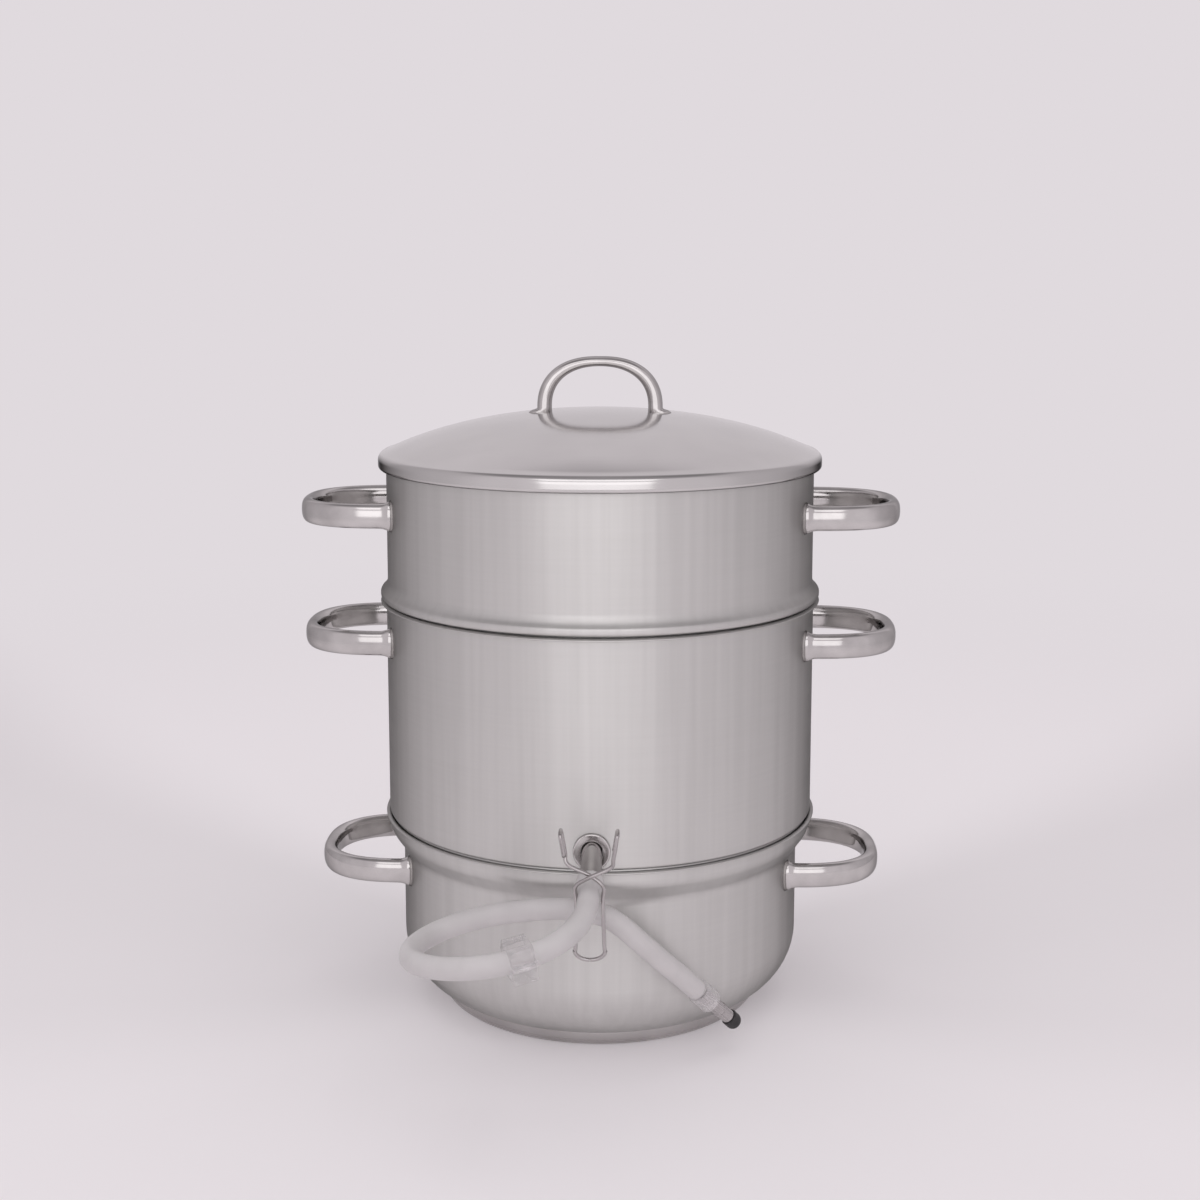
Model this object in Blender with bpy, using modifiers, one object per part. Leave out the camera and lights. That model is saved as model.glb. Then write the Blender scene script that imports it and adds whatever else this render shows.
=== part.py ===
# Steam juicer: water pot, juice kettle with spout and hose, perforated fruit basket and domed lid.
# Metres, +Z up. The origin is on the floor under the pot's axis, and the spout looks along -Y.
import math

import bmesh
import bpy
from mathutils import Matrix, Vector

for old in list(bpy.data.objects):
    bpy.data.objects.remove(old, do_unlink=True)

# Sheet metal and fits
SHEET = 0.0009
SEAT_GAP = 0.0003
CUT_OVERRUN = 0.004
MERGE_DISTANCE = 0.00001
TURN_STEPS = 36
SMALL_TURN_STEPS = 16
ARC_STEPS = 4
CREASE_ANGLE = math.radians(35)

# Water pot
POT_RADIUS = 0.1213
POT_CORNER = 0.0360
POT_FLARE = 0.0083
POT_FLARE_HEIGHT = 0.0140
POT_BAND_HEIGHT = 0.0080
POT_HEIGHT = 0.1165
POT_LIP = 0.0016
POT_HANDLE_DEPTH = 0.0507
POT_HANDLE_DROP = 0.0315

# Sandwich base under the pot
BASE_OVERHANG = 0.0127
BASE_CORNER = 0.0045
BASE_CORE_HEIGHT = 0.0046
CORE_EDGE_SHARES = (0.5, 1.0)

# Juice kettle
KETTLE_STEP = 0.0002
KETTLE_HEIGHT = 0.1316
KETTLE_LIP = 0.0028
NEST_CLEARANCE = 0.0019
NEST_DEPTH = 0.0052
SHOULDER_RISE = 0.0016
KETTLE_CORNER = 0.0055
KETTLE_FLOOR_RISE = 0.0070
STEAM_HOLE_RADIUS = 0.0450
STEAM_COLLAR_HEIGHT = 0.0030
KETTLE_HANDLE_DEPTH = 0.0502
KETTLE_HANDLE_DROP = 0.0234

# Steam cone
CONE_FLANGE = 0.0060
CONE_CLEARANCE = 0.0040
CONE_TOP_RADIUS = 0.0260
CONE_HEIGHT = 0.0400
CONE_LIP = 0.0016

# Fruit basket
BASKET_STEP = 0.0008
BASKET_HEIGHT = 0.0849
BEAD_RADIUS = 0.0030
BEAD_REACH = 0.0012
SLEEVE_CLEARANCE = 0.0027
SLEEVE_DEPTH = 0.0827
SLEEVE_CORNER = 0.0040
BASKET_LEDGE = 0.0090
BASKET_LIP = 0.0022
BASKET_HANDLE_DEPTH = 0.0520
BASKET_HANDLE_DROP = 0.0326

# Perforated bottom of the basket
STRAINER_SHEET = 0.0010
STRAINER_INSET = 0.0022
HOLE_RADIUS = 0.0042
HOLE_SIDES = 6
HOLE_PITCH = 0.0240
HOLES_PER_RING = 6

# Lid
LID_CLEARANCE = 0.0007
LID_SHOULDER_RISE = 0.0010
LID_DOME_RISE = 0.0240
DOME_ROUND_SHARE = 0.77
DOME_STEPS = 6
LID_BAND_HEIGHT = 0.0070
LID_HEM = 0.0007

# Lid handle
LID_HANDLE_HALF_SPAN = 0.0335
LID_HANDLE_RISE = 0.0298
LID_HANDLE_WIDTH = 0.0125
LID_HANDLE_TOP_THICKNESS = 0.0060
LID_HANDLE_SIDE_THICKNESS = 0.0088
LID_FOOT_THICKNESS = 0.0140
LID_FOOT_SHIFT = 0.0025
LID_FOOT_SHEET = 0.0012
LID_FOOT_NECK = 0.0030
LID_HANDLE_POWER = 2.3

# Side handles
HANDLE_HALF_SPREAD = 0.0440
HANDLE_HEIGHT = 0.0145
HANDLE_THICKNESS = 0.0085
HANDLE_POWER = 2.5
HANDLE_ARM = 0.0050
FOOT_HEIGHT = 0.0190
FOOT_THICKNESS = 0.0115
FOOT_NECK = 0.0032
HANDLE_SIDES = 8
HANDLE_ARC_STEPS = 10

# Spout
SPOUT_SLOPE = math.radians(26)
SPOUT_RISE = 0.0112
SPOUT_LENGTH = 0.0245
SPOUT_WALL = 0.0013
SPOUT_BORE = 0.0045
SPOUT_BEAD = 0.0008
SPOUT_BEAD_LENGTH = 0.0040
SPOUT_INSERT = 0.0030
COLLAR_RIM = 0.0047
COLLAR_THICKNESS = 0.0018

# Juice hose: the route's points are chosen by hand, after its start at the spout
HOSE_RADIUS = 0.0060
HOSE_SAMPLES_PER_STRETCH = 2
HOSE_ROUTE = [
    (-0.0010, -0.1680, 0.1103),
    (-0.0050, -0.1840, 0.1062),
    (-0.0135, -0.1980, 0.1032),
    (-0.0260, -0.2085, 0.1003),
    (-0.0415, -0.2142, 0.0975),
    (-0.0580, -0.2142, 0.0948),
    (-0.0740, -0.2085, 0.0922),
    (-0.0868, -0.1972, 0.0895),
    (-0.0940, -0.1812, 0.0870),
    (-0.0942, -0.1640, 0.0857),
    (-0.0872, -0.1484, 0.0860),
    (-0.0750, -0.1372, 0.0878),
    (-0.0590, -0.1315, 0.0905),
    (-0.0415, -0.1330, 0.0942),
    (-0.0235, -0.1372, 0.0975),
    (-0.0060, -0.1395, 0.0985),
    (0.0100, -0.1402, 0.0943),
    (0.0240, -0.1388, 0.0826),
    (0.0365, -0.1338, 0.0692),
    (0.0480, -0.1246, 0.0559),
    (0.0590, -0.1160, 0.0428),
]

# Nozzle on the hose's free end
SLEEVE_WALL = 0.0024
SLEEVE_LENGTH = 0.0130
SLEEVE_BACK = 0.0030
NOZZLE_RADIUS = 0.0040
NOZZLE_LENGTH = 0.0275
NOZZLE_BEAD = 0.0004
TIP_OVERLAP = 0.0008
TIP_LENGTH = 0.0085
TIP_ROUND = 0.0030

# Wire pinch clip on the hose, just after the spout
CLIP_DISTANCE = 0.0095
CLIP_TILT = math.radians(10)
WIRE_RADIUS = 0.0009
CLIP_JAW_HALF = 0.0070
CLIP_SPRING_DROP = 0.0380
CLIP_SPRING_HALF_WIDTH = 0.0083
CLIP_SPRING_HALF_HEIGHT = 0.0058
CLIP_CROSSING_RISE = 0.0128
CLIP_LAP = 0.0014
THUMB_BASE = 0.0190
THUMB_HEIGHT = 0.0196
THUMB_REACH = 0.0151
THUMB_HALF_DEPTH = 0.0036
THUMB_PATH_SHARES = [
    (0.76, 0.00, 0.40),
    (0.86, 0.33, 1.00),
    (0.98, 0.92, 1.00),
    (1.00, 1.00, 0.55),
    (1.00, 1.00, -0.55),
    (0.98, 0.92, -1.00),
    (0.87, 0.38, -1.00),
]

# Clear shut-off clamp on the loop's front arm
CLAMP_SAMPLE = 9
CLAMP_CLEARANCE = 0.0005
CLAMP_LENGTH = 0.0125
CLAMP_WALL = 0.0035
CLAMP_DEPTH = 0.0100
CLAMP_CORNER = 0.0030
CLAMP_PARTING = 0.0005
CLAMP_PIN_RADIUS = 0.0011
CLAMP_EAR = 0.0030
CLAMP_TAB = 0.0050
CLAMP_TAB_THICKNESS = 0.0030

# Values that follow from the ones above
POT_BAND_RADIUS = POT_RADIUS + POT_FLARE
POT_FLOOR = SHEET + SEAT_GAP + BASE_CORE_HEIGHT + SEAT_GAP
POT_FLAT_RADIUS = POT_RADIUS - POT_CORNER
POT_FLARE_END = POT_HEIGHT - POT_BAND_HEIGHT
POT_FLARE_START = POT_FLARE_END - POT_FLARE_HEIGHT
BASE_RADIUS = POT_FLAT_RADIUS + BASE_OVERHANG
KETTLE_RADIUS = POT_BAND_RADIUS + KETTLE_STEP
NEST_RADIUS = POT_BAND_RADIUS - SHEET - NEST_CLEARANCE
KETTLE_SEAT = POT_HEIGHT + SEAT_GAP
KETTLE_RIM_TOP = KETTLE_SEAT + KETTLE_HEIGHT
KETTLE_FLOOR_EDGE = KETTLE_SEAT - SHOULDER_RISE / 2 - NEST_DEPTH - KETTLE_CORNER
KETTLE_FLOOR_CENTRE = KETTLE_FLOOR_EDGE + KETTLE_FLOOR_RISE
CONE_BASE_RADIUS = STEAM_HOLE_RADIUS + CONE_CLEARANCE
CONE_FOOT_RADIUS = CONE_BASE_RADIUS + CONE_FLANGE
BASKET_RADIUS = KETTLE_RADIUS - BASKET_STEP
BASKET_SEAT = KETTLE_RIM_TOP + SEAT_GAP
BASKET_RIM_TOP = BASKET_SEAT + BASKET_HEIGHT
BASKET_FLOOR = BASKET_SEAT - SLEEVE_DEPTH
SLEEVE_RADIUS = KETTLE_RADIUS - SHEET - SLEEVE_CLEARANCE
STRAINER_RADIUS = SLEEVE_RADIUS - SLEEVE_CORNER - STRAINER_INSET
LID_SHOULDER_RADIUS = BASKET_RADIUS
LID_RADIUS = BASKET_RADIUS + BASKET_LIP + LID_CLEARANCE + SHEET
LID_SHOULDER_HEIGHT = BASKET_RIM_TOP + LID_SHOULDER_RISE + SEAT_GAP + SHEET
LID_APEX = LID_SHOULDER_HEIGHT + LID_DOME_RISE
SPOUT_RADIUS = SPOUT_BORE + SPOUT_WALL
SPOUT_HEIGHT = KETTLE_SEAT + SPOUT_RISE
SPOUT_DIRECTION = Vector((0, -math.cos(SPOUT_SLOPE), -math.sin(SPOUT_SLOPE)))
SPOUT_ROOT = Vector((0, -KETTLE_RADIUS, SPOUT_HEIGHT))
SPOUT_TIP = SPOUT_ROOT + SPOUT_DIRECTION * SPOUT_LENGTH
COLLAR_RADIUS = SPOUT_RADIUS + COLLAR_RIM
HOSE_START = SPOUT_TIP + SPOUT_DIRECTION * SEAT_GAP
NOZZLE_SOCKET = NOZZLE_RADIUS + NOZZLE_BEAD + SEAT_GAP
SLEEVE_OUTER = NOZZLE_SOCKET + SLEEVE_WALL
TIP_RADIUS = NOZZLE_RADIUS + TIP_OVERLAP
CLIP_JAW_OFFSET = HOSE_RADIUS + WIRE_RADIUS + SEAT_GAP
CLAMP_NOTCH = HOSE_RADIUS + CLAMP_CLEARANCE
CLAMP_HALF_WIDTH = CLAMP_NOTCH + CLAMP_WALL

parts = bpy.data.collections.new("steam_juicer")
cutters = bpy.data.collections.new("cutters")
bpy.context.scene.collection.children.link(parts)
bpy.context.scene.collection.children.link(cutters)


def make_material(name, colour, roughness, metallic, alpha=1.0):
    material = bpy.data.materials.new(name)
    material.use_nodes = True
    shader = material.node_tree.nodes["Principled BSDF"]
    shader.inputs["Base Color"].default_value = (*colour, 1.0)
    shader.inputs["Roughness"].default_value = roughness
    shader.inputs["Metallic"].default_value = metallic
    shader.inputs["Alpha"].default_value = alpha
    return material


satin_steel = make_material("satin_steel", (0.62, 0.60, 0.60), 0.32, 1.0)
polished_steel = make_material("polished_steel", (0.72, 0.71, 0.71), 0.12, 1.0)
core_aluminium = make_material("core_aluminium", (0.80, 0.80, 0.81), 0.40, 1.0)
clear_silicone = make_material("clear_silicone", (0.86, 0.85, 0.84), 0.35, 0.0, 0.6)
clear_plastic = make_material("clear_plastic", (0.82, 0.82, 0.83), 0.15, 0.0, 0.4)
dark_rubber = make_material("dark_rubber", (0.03, 0.03, 0.035), 0.45, 0.0)


def add_object(name, mesh, material, collection=None):
    new = bpy.data.objects.new(name, mesh)
    (collection or parts).objects.link(new)
    if material:
        mesh.materials.append(material)
    return new


def hang_under(parent_empty, children):
    for child in children:
        placed = child.matrix_world.copy()
        child.parent = parent_empty
        child.matrix_parent_inverse = parent_empty.matrix_world.inverted()
        child.matrix_world = placed


def body_empty(name, place):
    empty = bpy.data.objects.new(name, None)
    parts.objects.link(empty)
    empty.matrix_world = Matrix.Translation(place)
    bpy.context.view_layer.update()
    return empty


def axis_matrix(origin, axis, up_hint):
    """Local +Z lies along axis, and local +Y as near up_hint as it can."""
    z_axis = Vector(axis).normalized()
    x_axis = Vector(up_hint).cross(z_axis).normalized()
    y_axis = z_axis.cross(x_axis)
    rotation = Matrix((x_axis, y_axis, z_axis)).transposed().to_4x4()
    return Matrix.Translation(origin) @ rotation


def arc(centre_r, centre_z, radius, start_deg, end_deg, steps=ARC_STEPS):
    """Points of a circular arc in the (r, z) plane, both ends included."""
    points = []
    for i in range(steps + 1):
        angle = math.radians(start_deg + (end_deg - start_deg) * i / steps)
        points.append((centre_r + radius * math.cos(angle), centre_z + radius * math.sin(angle)))
    return points


def turned(name, profile, material, steps=TURN_STEPS, closed=False, wall=0.0, collection=None):
    """A profile of (r, z) points turned about local Z, as a sheet of thickness wall or as a solid."""
    mesh = bpy.data.meshes.new(name)
    vertices = [(r, 0, z) for r, z in profile]
    edges = [(i, i + 1) for i in range(len(profile) - 1)]
    if closed:
        edges.append((len(profile) - 1, 0))
    mesh.from_pydata(vertices, edges, [])
    new = add_object(name, mesh, material, collection)
    screw = new.modifiers.new("turn", "SCREW")
    screw.axis = "Z"
    screw.angle = math.tau
    screw.steps = steps
    screw.render_steps = steps
    screw.use_merge_vertices = True
    screw.merge_threshold = MERGE_DISTANCE
    screw.use_smooth_shade = True
    if wall:
        solidify = new.modifiers.new("sheet", "SOLIDIFY")
        solidify.thickness = wall
        solidify.offset = -1
        solidify.use_even_offset = True
        solidify.use_rim = True
    return new


def cutter_cylinder(name, radius, length, matrix):
    mesh = bpy.data.meshes.new(name)
    bm = bmesh.new()
    bmesh.ops.create_cone(
        bm, cap_ends=True, segments=SMALL_TURN_STEPS, radius1=radius, radius2=radius, depth=length
    )
    bm.to_mesh(mesh)
    bm.free()
    new = add_object(name, mesh, None, cutters)
    new.matrix_world = matrix
    new.hide_render = True
    new.display_type = "WIRE"
    return new


def cut(target, cutter):
    boolean = target.modifiers.new("cut", "BOOLEAN")
    boolean.operation = "DIFFERENCE"
    boolean.solver = "EXACT"
    boolean.object = cutter


def lofted(name, rings, material):
    """Closed bar through rings of equally many points, one after another, with a face on each end."""
    sides = len(rings[0])
    vertices = [point for ring in rings for point in ring]
    faces = []
    for row in range(len(rings) - 1):
        for i in range(sides):
            j = (i + 1) % sides
            low = row * sides
            high = low + sides
            faces.append((low + i, low + j, high + j, high + i))
    faces.append(tuple(reversed(range(sides))))
    last = (len(rings) - 1) * sides
    faces.append(tuple(range(last, last + sides)))
    mesh = bpy.data.meshes.new(name)
    mesh.from_pydata(vertices, [], faces)
    bm = bmesh.new()
    bm.from_mesh(mesh)
    bmesh.ops.recalc_face_normals(bm, faces=bm.faces)
    bm.to_mesh(mesh)
    bm.free()
    mesh.shade_smooth()
    mesh.set_sharp_from_angle(angle=CREASE_ANGLE)
    return add_object(name, mesh, material)


def superellipse(angle, power):
    """Unit superellipse point: |x|^power + |y|^power = 1."""
    c = math.cos(angle)
    s = math.sin(angle)
    x = math.copysign(abs(c) ** (2 / power), c)
    y = math.copysign(abs(s) ** (2 / power), s)
    return x, y


def tube_along(name, points, radius, resolution, material):
    curve = bpy.data.curves.new(name, "CURVE")
    curve.dimensions = "3D"
    curve.bevel_depth = radius
    curve.bevel_resolution = resolution
    curve.use_fill_caps = True
    spline = curve.splines.new("POLY")
    spline.points.add(len(points) - 1)
    for point, place in zip(spline.points, points):
        point.co = (*place, 1)
    return add_object(name, curve, material)


def flat_outline(name, outlines, thickness, material):
    """Flat plate from one or more closed outlines in local XY; inner outlines are holes."""
    curve = bpy.data.curves.new(name, "CURVE")
    curve.dimensions = "2D"
    curve.fill_mode = "BOTH"
    curve.extrude = thickness / 2
    for outline in outlines:
        spline = curve.splines.new("POLY")
        spline.points.add(len(outline) - 1)
        for point, (x, y) in zip(spline.points, outline):
            point.co = (x, y, 0, 1)
        spline.use_cyclic_u = True
    return add_object(name, curve, material)


def smooth_route(points, samples):
    """Catmull-Rom curve through the points."""
    route = [Vector(p) for p in points]
    padded = [2 * route[0] - route[1]] + route + [2 * route[-1] - route[-2]]
    result = []
    for i in range(1, len(padded) - 2):
        p0, p1, p2, p3 = padded[i - 1:i + 3]
        for k in range(samples):
            t = k / samples
            a = 2 * p1
            b = (p2 - p0) * t
            c = (2 * p0 - 5 * p1 + 4 * p2 - p3) * t ** 2
            d = (3 * p1 - p0 - 3 * p2 + p3) * t ** 3
            result.append((a + b + c + d) / 2)
    result.append(route[-1])
    return result


def dome_height(r):
    """Top of the lid's sheet at radius r: a parabola with a quartic share that steepens the edge."""
    x = r / LID_SHOULDER_RADIUS
    return LID_APEX - LID_DOME_RISE * (DOME_ROUND_SHARE * x ** 2 + (1 - DOME_ROUND_SHARE) * x ** 4)


def pot_underside(r):
    """Underside of the pot's sheet at radius r: flat, then the corner's round."""
    if r <= POT_FLAT_RADIUS:
        return POT_FLOOR
    return POT_FLOOR + POT_CORNER - math.sqrt(POT_CORNER ** 2 - (r - POT_FLAT_RADIUS) ** 2)


def kettle_floor_top(r):
    """Top of the kettle's sloping floor at radius r."""
    share = (NEST_RADIUS - KETTLE_CORNER - r) / (NEST_RADIUS - KETTLE_CORNER - STEAM_HOLE_RADIUS)
    return KETTLE_FLOOR_EDGE + KETTLE_FLOOR_RISE * share + SHEET


def make_pot_shell():
    """The pot's one sheet, as three solids end to end: the flared rim, the straight wall, and the rounded bottom."""
    rim_under = POT_HEIGHT - SHEET
    rim = [(POT_BAND_RADIUS + POT_LIP, rim_under), (POT_BAND_RADIUS, rim_under)]
    for i in range(ARC_STEPS + 1):
        share = i / ARC_STEPS
        blend = (1 + math.cos(math.pi * share)) / 2
        rim.append((POT_RADIUS + POT_FLARE * blend, POT_FLARE_END - POT_FLARE_HEIGHT * share))
    rim.append((POT_RADIUS, POT_FLARE_START - SHEET))
    corner_top = POT_FLOOR + POT_CORNER
    wall = [(POT_RADIUS, POT_FLARE_START - SHEET - SEAT_GAP), (POT_RADIUS, corner_top + SEAT_GAP)]
    bottom = arc(POT_FLAT_RADIUS, corner_top, POT_CORNER, 0, -90, ARC_STEPS + 1)
    bottom.append((0, POT_FLOOR))
    return [
        turned("pot_rim", rim, satin_steel, wall=SHEET),
        turned("pot_wall", wall, satin_steel, wall=SHEET),
        turned("pot_shell", bottom, satin_steel, wall=SHEET),
    ]


def make_base():
    cap_inner = BASE_RADIUS - SHEET
    core_radius = cap_inner - SEAT_GAP
    core_corner = BASE_CORNER - SHEET - SEAT_GAP
    core_bottom = SHEET + SEAT_GAP
    core = [(0, POT_FLOOR - SEAT_GAP), (POT_FLAT_RADIUS, POT_FLOOR - SEAT_GAP)]
    for share in CORE_EDGE_SHARES:
        r = POT_FLAT_RADIUS + (core_radius - POT_FLAT_RADIUS) * share
        core.append((r, pot_underside(r) - SEAT_GAP))
    core += arc(core_radius - core_corner, core_bottom + core_corner, core_corner, 0, -90, 2)
    core.append((0, core_bottom))
    cap = [(BASE_RADIUS, pot_underside(cap_inner) - SEAT_GAP)]
    cap += arc(BASE_RADIUS - BASE_CORNER, BASE_CORNER, BASE_CORNER, 0, -90, 2)
    cap.append((0, 0))
    return [
        turned("base_core", core, core_aluminium),
        turned("base_cap", cap, satin_steel, wall=SHEET),
    ]


def side_handle(name, wall_radius, depth, height, side, material):
    """Loop handle lofted from foot to foot: flared feet on the wall, oval bar round a superellipse."""
    arm_x = math.sqrt(wall_radius ** 2 - HANDLE_HALF_SPREAD ** 2)
    loop_x = arm_x + HANDLE_ARM
    loop_depth = wall_radius + depth - HANDLE_THICKNESS / 2 - loop_x
    stations = [
        ((arm_x, -HANDLE_HALF_SPREAD), FOOT_HEIGHT, FOOT_THICKNESS),
        ((arm_x + FOOT_NECK, -HANDLE_HALF_SPREAD), HANDLE_HEIGHT, HANDLE_THICKNESS),
    ]
    for i in range(HANDLE_ARC_STEPS + 1):
        angle = math.pi * (i / HANDLE_ARC_STEPS - 0.5)
        x, y = superellipse(angle, HANDLE_POWER)
        place = (loop_x + loop_depth * x, HANDLE_HALF_SPREAD * y)
        stations.append((place, HANDLE_HEIGHT, HANDLE_THICKNESS))
    stations.append(((arm_x + FOOT_NECK, HANDLE_HALF_SPREAD), HANDLE_HEIGHT, HANDLE_THICKNESS))
    stations.append(((arm_x, HANDLE_HALF_SPREAD), FOOT_HEIGHT, FOOT_THICKNESS))
    places = [Vector(place) for place, _, _ in stations]
    rings = []
    for i, (_, tall, thick) in enumerate(stations):
        ahead = places[min(i + 1, len(places) - 1)] - places[max(i - 1, 0)]
        across = Vector((ahead.y, -ahead.x)).normalized()
        ring = []
        for k in range(HANDLE_SIDES):
            x, y = superellipse(math.tau * k / HANDLE_SIDES, HANDLE_POWER)
            point = places[i] + across * (thick / 2 * x)
            if i in (0, len(stations) - 1):
                point.x = math.sqrt((wall_radius + SEAT_GAP) ** 2 - point.y ** 2)
            ring.append((side * point.x, point.y, height + tall / 2 * y))
        rings.append(ring)
    return lofted(name, rings, material)


def handle_pair(prefix, wall_radius, depth, height):
    return [
        side_handle(prefix + "_handle_left", wall_radius, depth, height, -1, polished_steel),
        side_handle(prefix + "_handle_right", wall_radius, depth, height, 1, polished_steel),
    ]


def make_kettle_shell():
    """The kettle's drum with its nested foot, and the sloping floor with its steam collar welded into it."""
    lip_under = KETTLE_RIM_TOP - SHEET
    shoulder_top = KETTLE_SEAT + SHOULDER_RISE
    nest_top = KETTLE_SEAT - SHOULDER_RISE / 2
    profile = [
        (KETTLE_RADIUS + KETTLE_LIP, lip_under),
        (KETTLE_RADIUS + SHEET, lip_under),
        (KETTLE_RADIUS, lip_under - SHEET),
        (KETTLE_RADIUS, shoulder_top),
        (KETTLE_RADIUS - SHEET, KETTLE_SEAT),
        (NEST_RADIUS + SHEET, KETTLE_SEAT),
        (NEST_RADIUS, nest_top),
    ]
    corner_r = NEST_RADIUS - KETTLE_CORNER
    corner_z = nest_top - NEST_DEPTH
    profile += arc(corner_r, corner_z, KETTLE_CORNER, 0, -90, 3)
    ledge_r = corner_r - SHEET
    profile.append((ledge_r, KETTLE_FLOOR_EDGE))
    shell = turned("kettle_shell", profile, satin_steel, wall=SHEET)
    length = SPOUT_INSERT + SPOUT_LENGTH + 2 * CUT_OVERRUN
    matrix = axis_matrix(SPOUT_ROOT, SPOUT_DIRECTION, (0, 0, 1))
    cut(shell, cutter_cylinder("spout_hole_cutter", SPOUT_RADIUS + SEAT_GAP, length, matrix))
    floor_r = ledge_r - 2 * SEAT_GAP
    floor = [
        (floor_r, kettle_floor_top(floor_r) - SHEET),
        (STEAM_HOLE_RADIUS + SHEET * 2, KETTLE_FLOOR_CENTRE),
        (STEAM_HOLE_RADIUS, KETTLE_FLOOR_CENTRE + SHEET),
        (STEAM_HOLE_RADIUS, KETTLE_FLOOR_CENTRE + STEAM_COLLAR_HEIGHT),
    ]
    return [shell, turned("kettle_floor", floor, satin_steel, wall=SHEET)]


def make_steam_cone():
    foot_z = kettle_floor_top(CONE_FOOT_RADIUS) + SEAT_GAP
    base_z = kettle_floor_top(CONE_BASE_RADIUS) + SEAT_GAP
    top_z = base_z + CONE_HEIGHT
    profile = [
        (CONE_TOP_RADIUS - CONE_LIP, top_z + SHEET),
        (CONE_TOP_RADIUS, top_z),
        (CONE_BASE_RADIUS, base_z + 2 * SHEET),
        (CONE_BASE_RADIUS + SHEET, base_z + SHEET),
        (CONE_FOOT_RADIUS, foot_z + SHEET),
    ]
    return turned("steam_cone", profile, satin_steel, wall=SHEET)


def make_spout():
    bead = SPOUT_RADIUS + SPOUT_BEAD
    start = -SPOUT_INSERT
    tube = [
        (SPOUT_BORE, SPOUT_LENGTH),
        (bead - SPOUT_BEAD / 2, SPOUT_LENGTH),
        (bead, SPOUT_LENGTH - SPOUT_BEAD_LENGTH / 2),
        (SPOUT_RADIUS, SPOUT_LENGTH - SPOUT_BEAD_LENGTH),
        (SPOUT_RADIUS, start),
        (SPOUT_BORE, start),
    ]
    spout = turned("spout_tube", tube, polished_steel, SMALL_TURN_STEPS, closed=True)
    spout.matrix_world = axis_matrix(SPOUT_ROOT, SPOUT_DIRECTION, (0, 0, 1))
    back = KETTLE_RADIUS + SEAT_GAP
    disc = [
        (0, COLLAR_THICKNESS),
        (COLLAR_RADIUS - COLLAR_THICKNESS / 2, COLLAR_THICKNESS),
        (COLLAR_RADIUS, COLLAR_THICKNESS / 2),
        (COLLAR_RADIUS, 0),
        (0, 0),
    ]
    collar = turned("spout_collar", disc, polished_steel, SMALL_TURN_STEPS)
    drop = SEAT_GAP * math.tan(SPOUT_SLOPE)
    collar.matrix_world = axis_matrix((0, -back, SPOUT_HEIGHT - drop), (0, -1, 0), (0, 0, 1))
    length = 4 * (COLLAR_THICKNESS + CUT_OVERRUN)
    matrix = axis_matrix(SPOUT_ROOT, SPOUT_DIRECTION, (0, 0, 1))
    cut(collar, cutter_cylinder("collar_hole_cutter", SPOUT_RADIUS + SEAT_GAP, length, matrix))
    return [spout, collar]


def hose_samples():
    return smooth_route([HOSE_START] + HOSE_ROUTE, HOSE_SAMPLES_PER_STRETCH)


def make_hose():
    return tube_along("juice_hose", hose_samples(), HOSE_RADIUS, 3, clear_silicone)


def make_nozzle():
    before, end = hose_samples()[-2:]
    matrix = axis_matrix(end, end - before, (0, 0, 1))
    sleeve = [
        (0, SEAT_GAP + SLEEVE_BACK),
        (NOZZLE_SOCKET, SEAT_GAP + SLEEVE_BACK),
        (NOZZLE_SOCKET, SLEEVE_LENGTH),
        (SLEEVE_OUTER - SHEET, SLEEVE_LENGTH),
        (SLEEVE_OUTER, SLEEVE_LENGTH - SHEET),
        (SLEEVE_OUTER, SEAT_GAP + SHEET),
        (SLEEVE_OUTER - SHEET, SEAT_GAP),
        (0, SEAT_GAP),
    ]
    tube_start = SLEEVE_BACK + 2 * SEAT_GAP
    tube_end = tube_start + NOZZLE_LENGTH
    bead_z = (tube_end + SLEEVE_LENGTH) / 2
    tube = [
        (0, tube_end),
        (NOZZLE_RADIUS, tube_end),
        (NOZZLE_RADIUS, bead_z + SHEET),
        (NOZZLE_RADIUS + NOZZLE_BEAD, bead_z),
        (NOZZLE_RADIUS, bead_z - SHEET),
        (NOZZLE_RADIUS, tube_start),
        (0, tube_start),
    ]
    tip_start = tube_end + SEAT_GAP
    tip_end = tip_start + TIP_LENGTH
    tip = [(0, tip_end)]
    tip += arc(TIP_RADIUS - TIP_ROUND, tip_end - TIP_ROUND, TIP_ROUND, 90, 0, 3)
    tip += [(TIP_RADIUS, tip_start), (0, tip_start)]
    pieces = [
        turned("nozzle_sleeve", sleeve, clear_silicone, SMALL_TURN_STEPS),
        turned("nozzle_tube", tube, polished_steel, SMALL_TURN_STEPS),
        turned("nozzle_tip", tip, dark_rubber, SMALL_TURN_STEPS),
    ]
    for piece in pieces:
        piece.matrix_world = matrix
    return pieces


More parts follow.
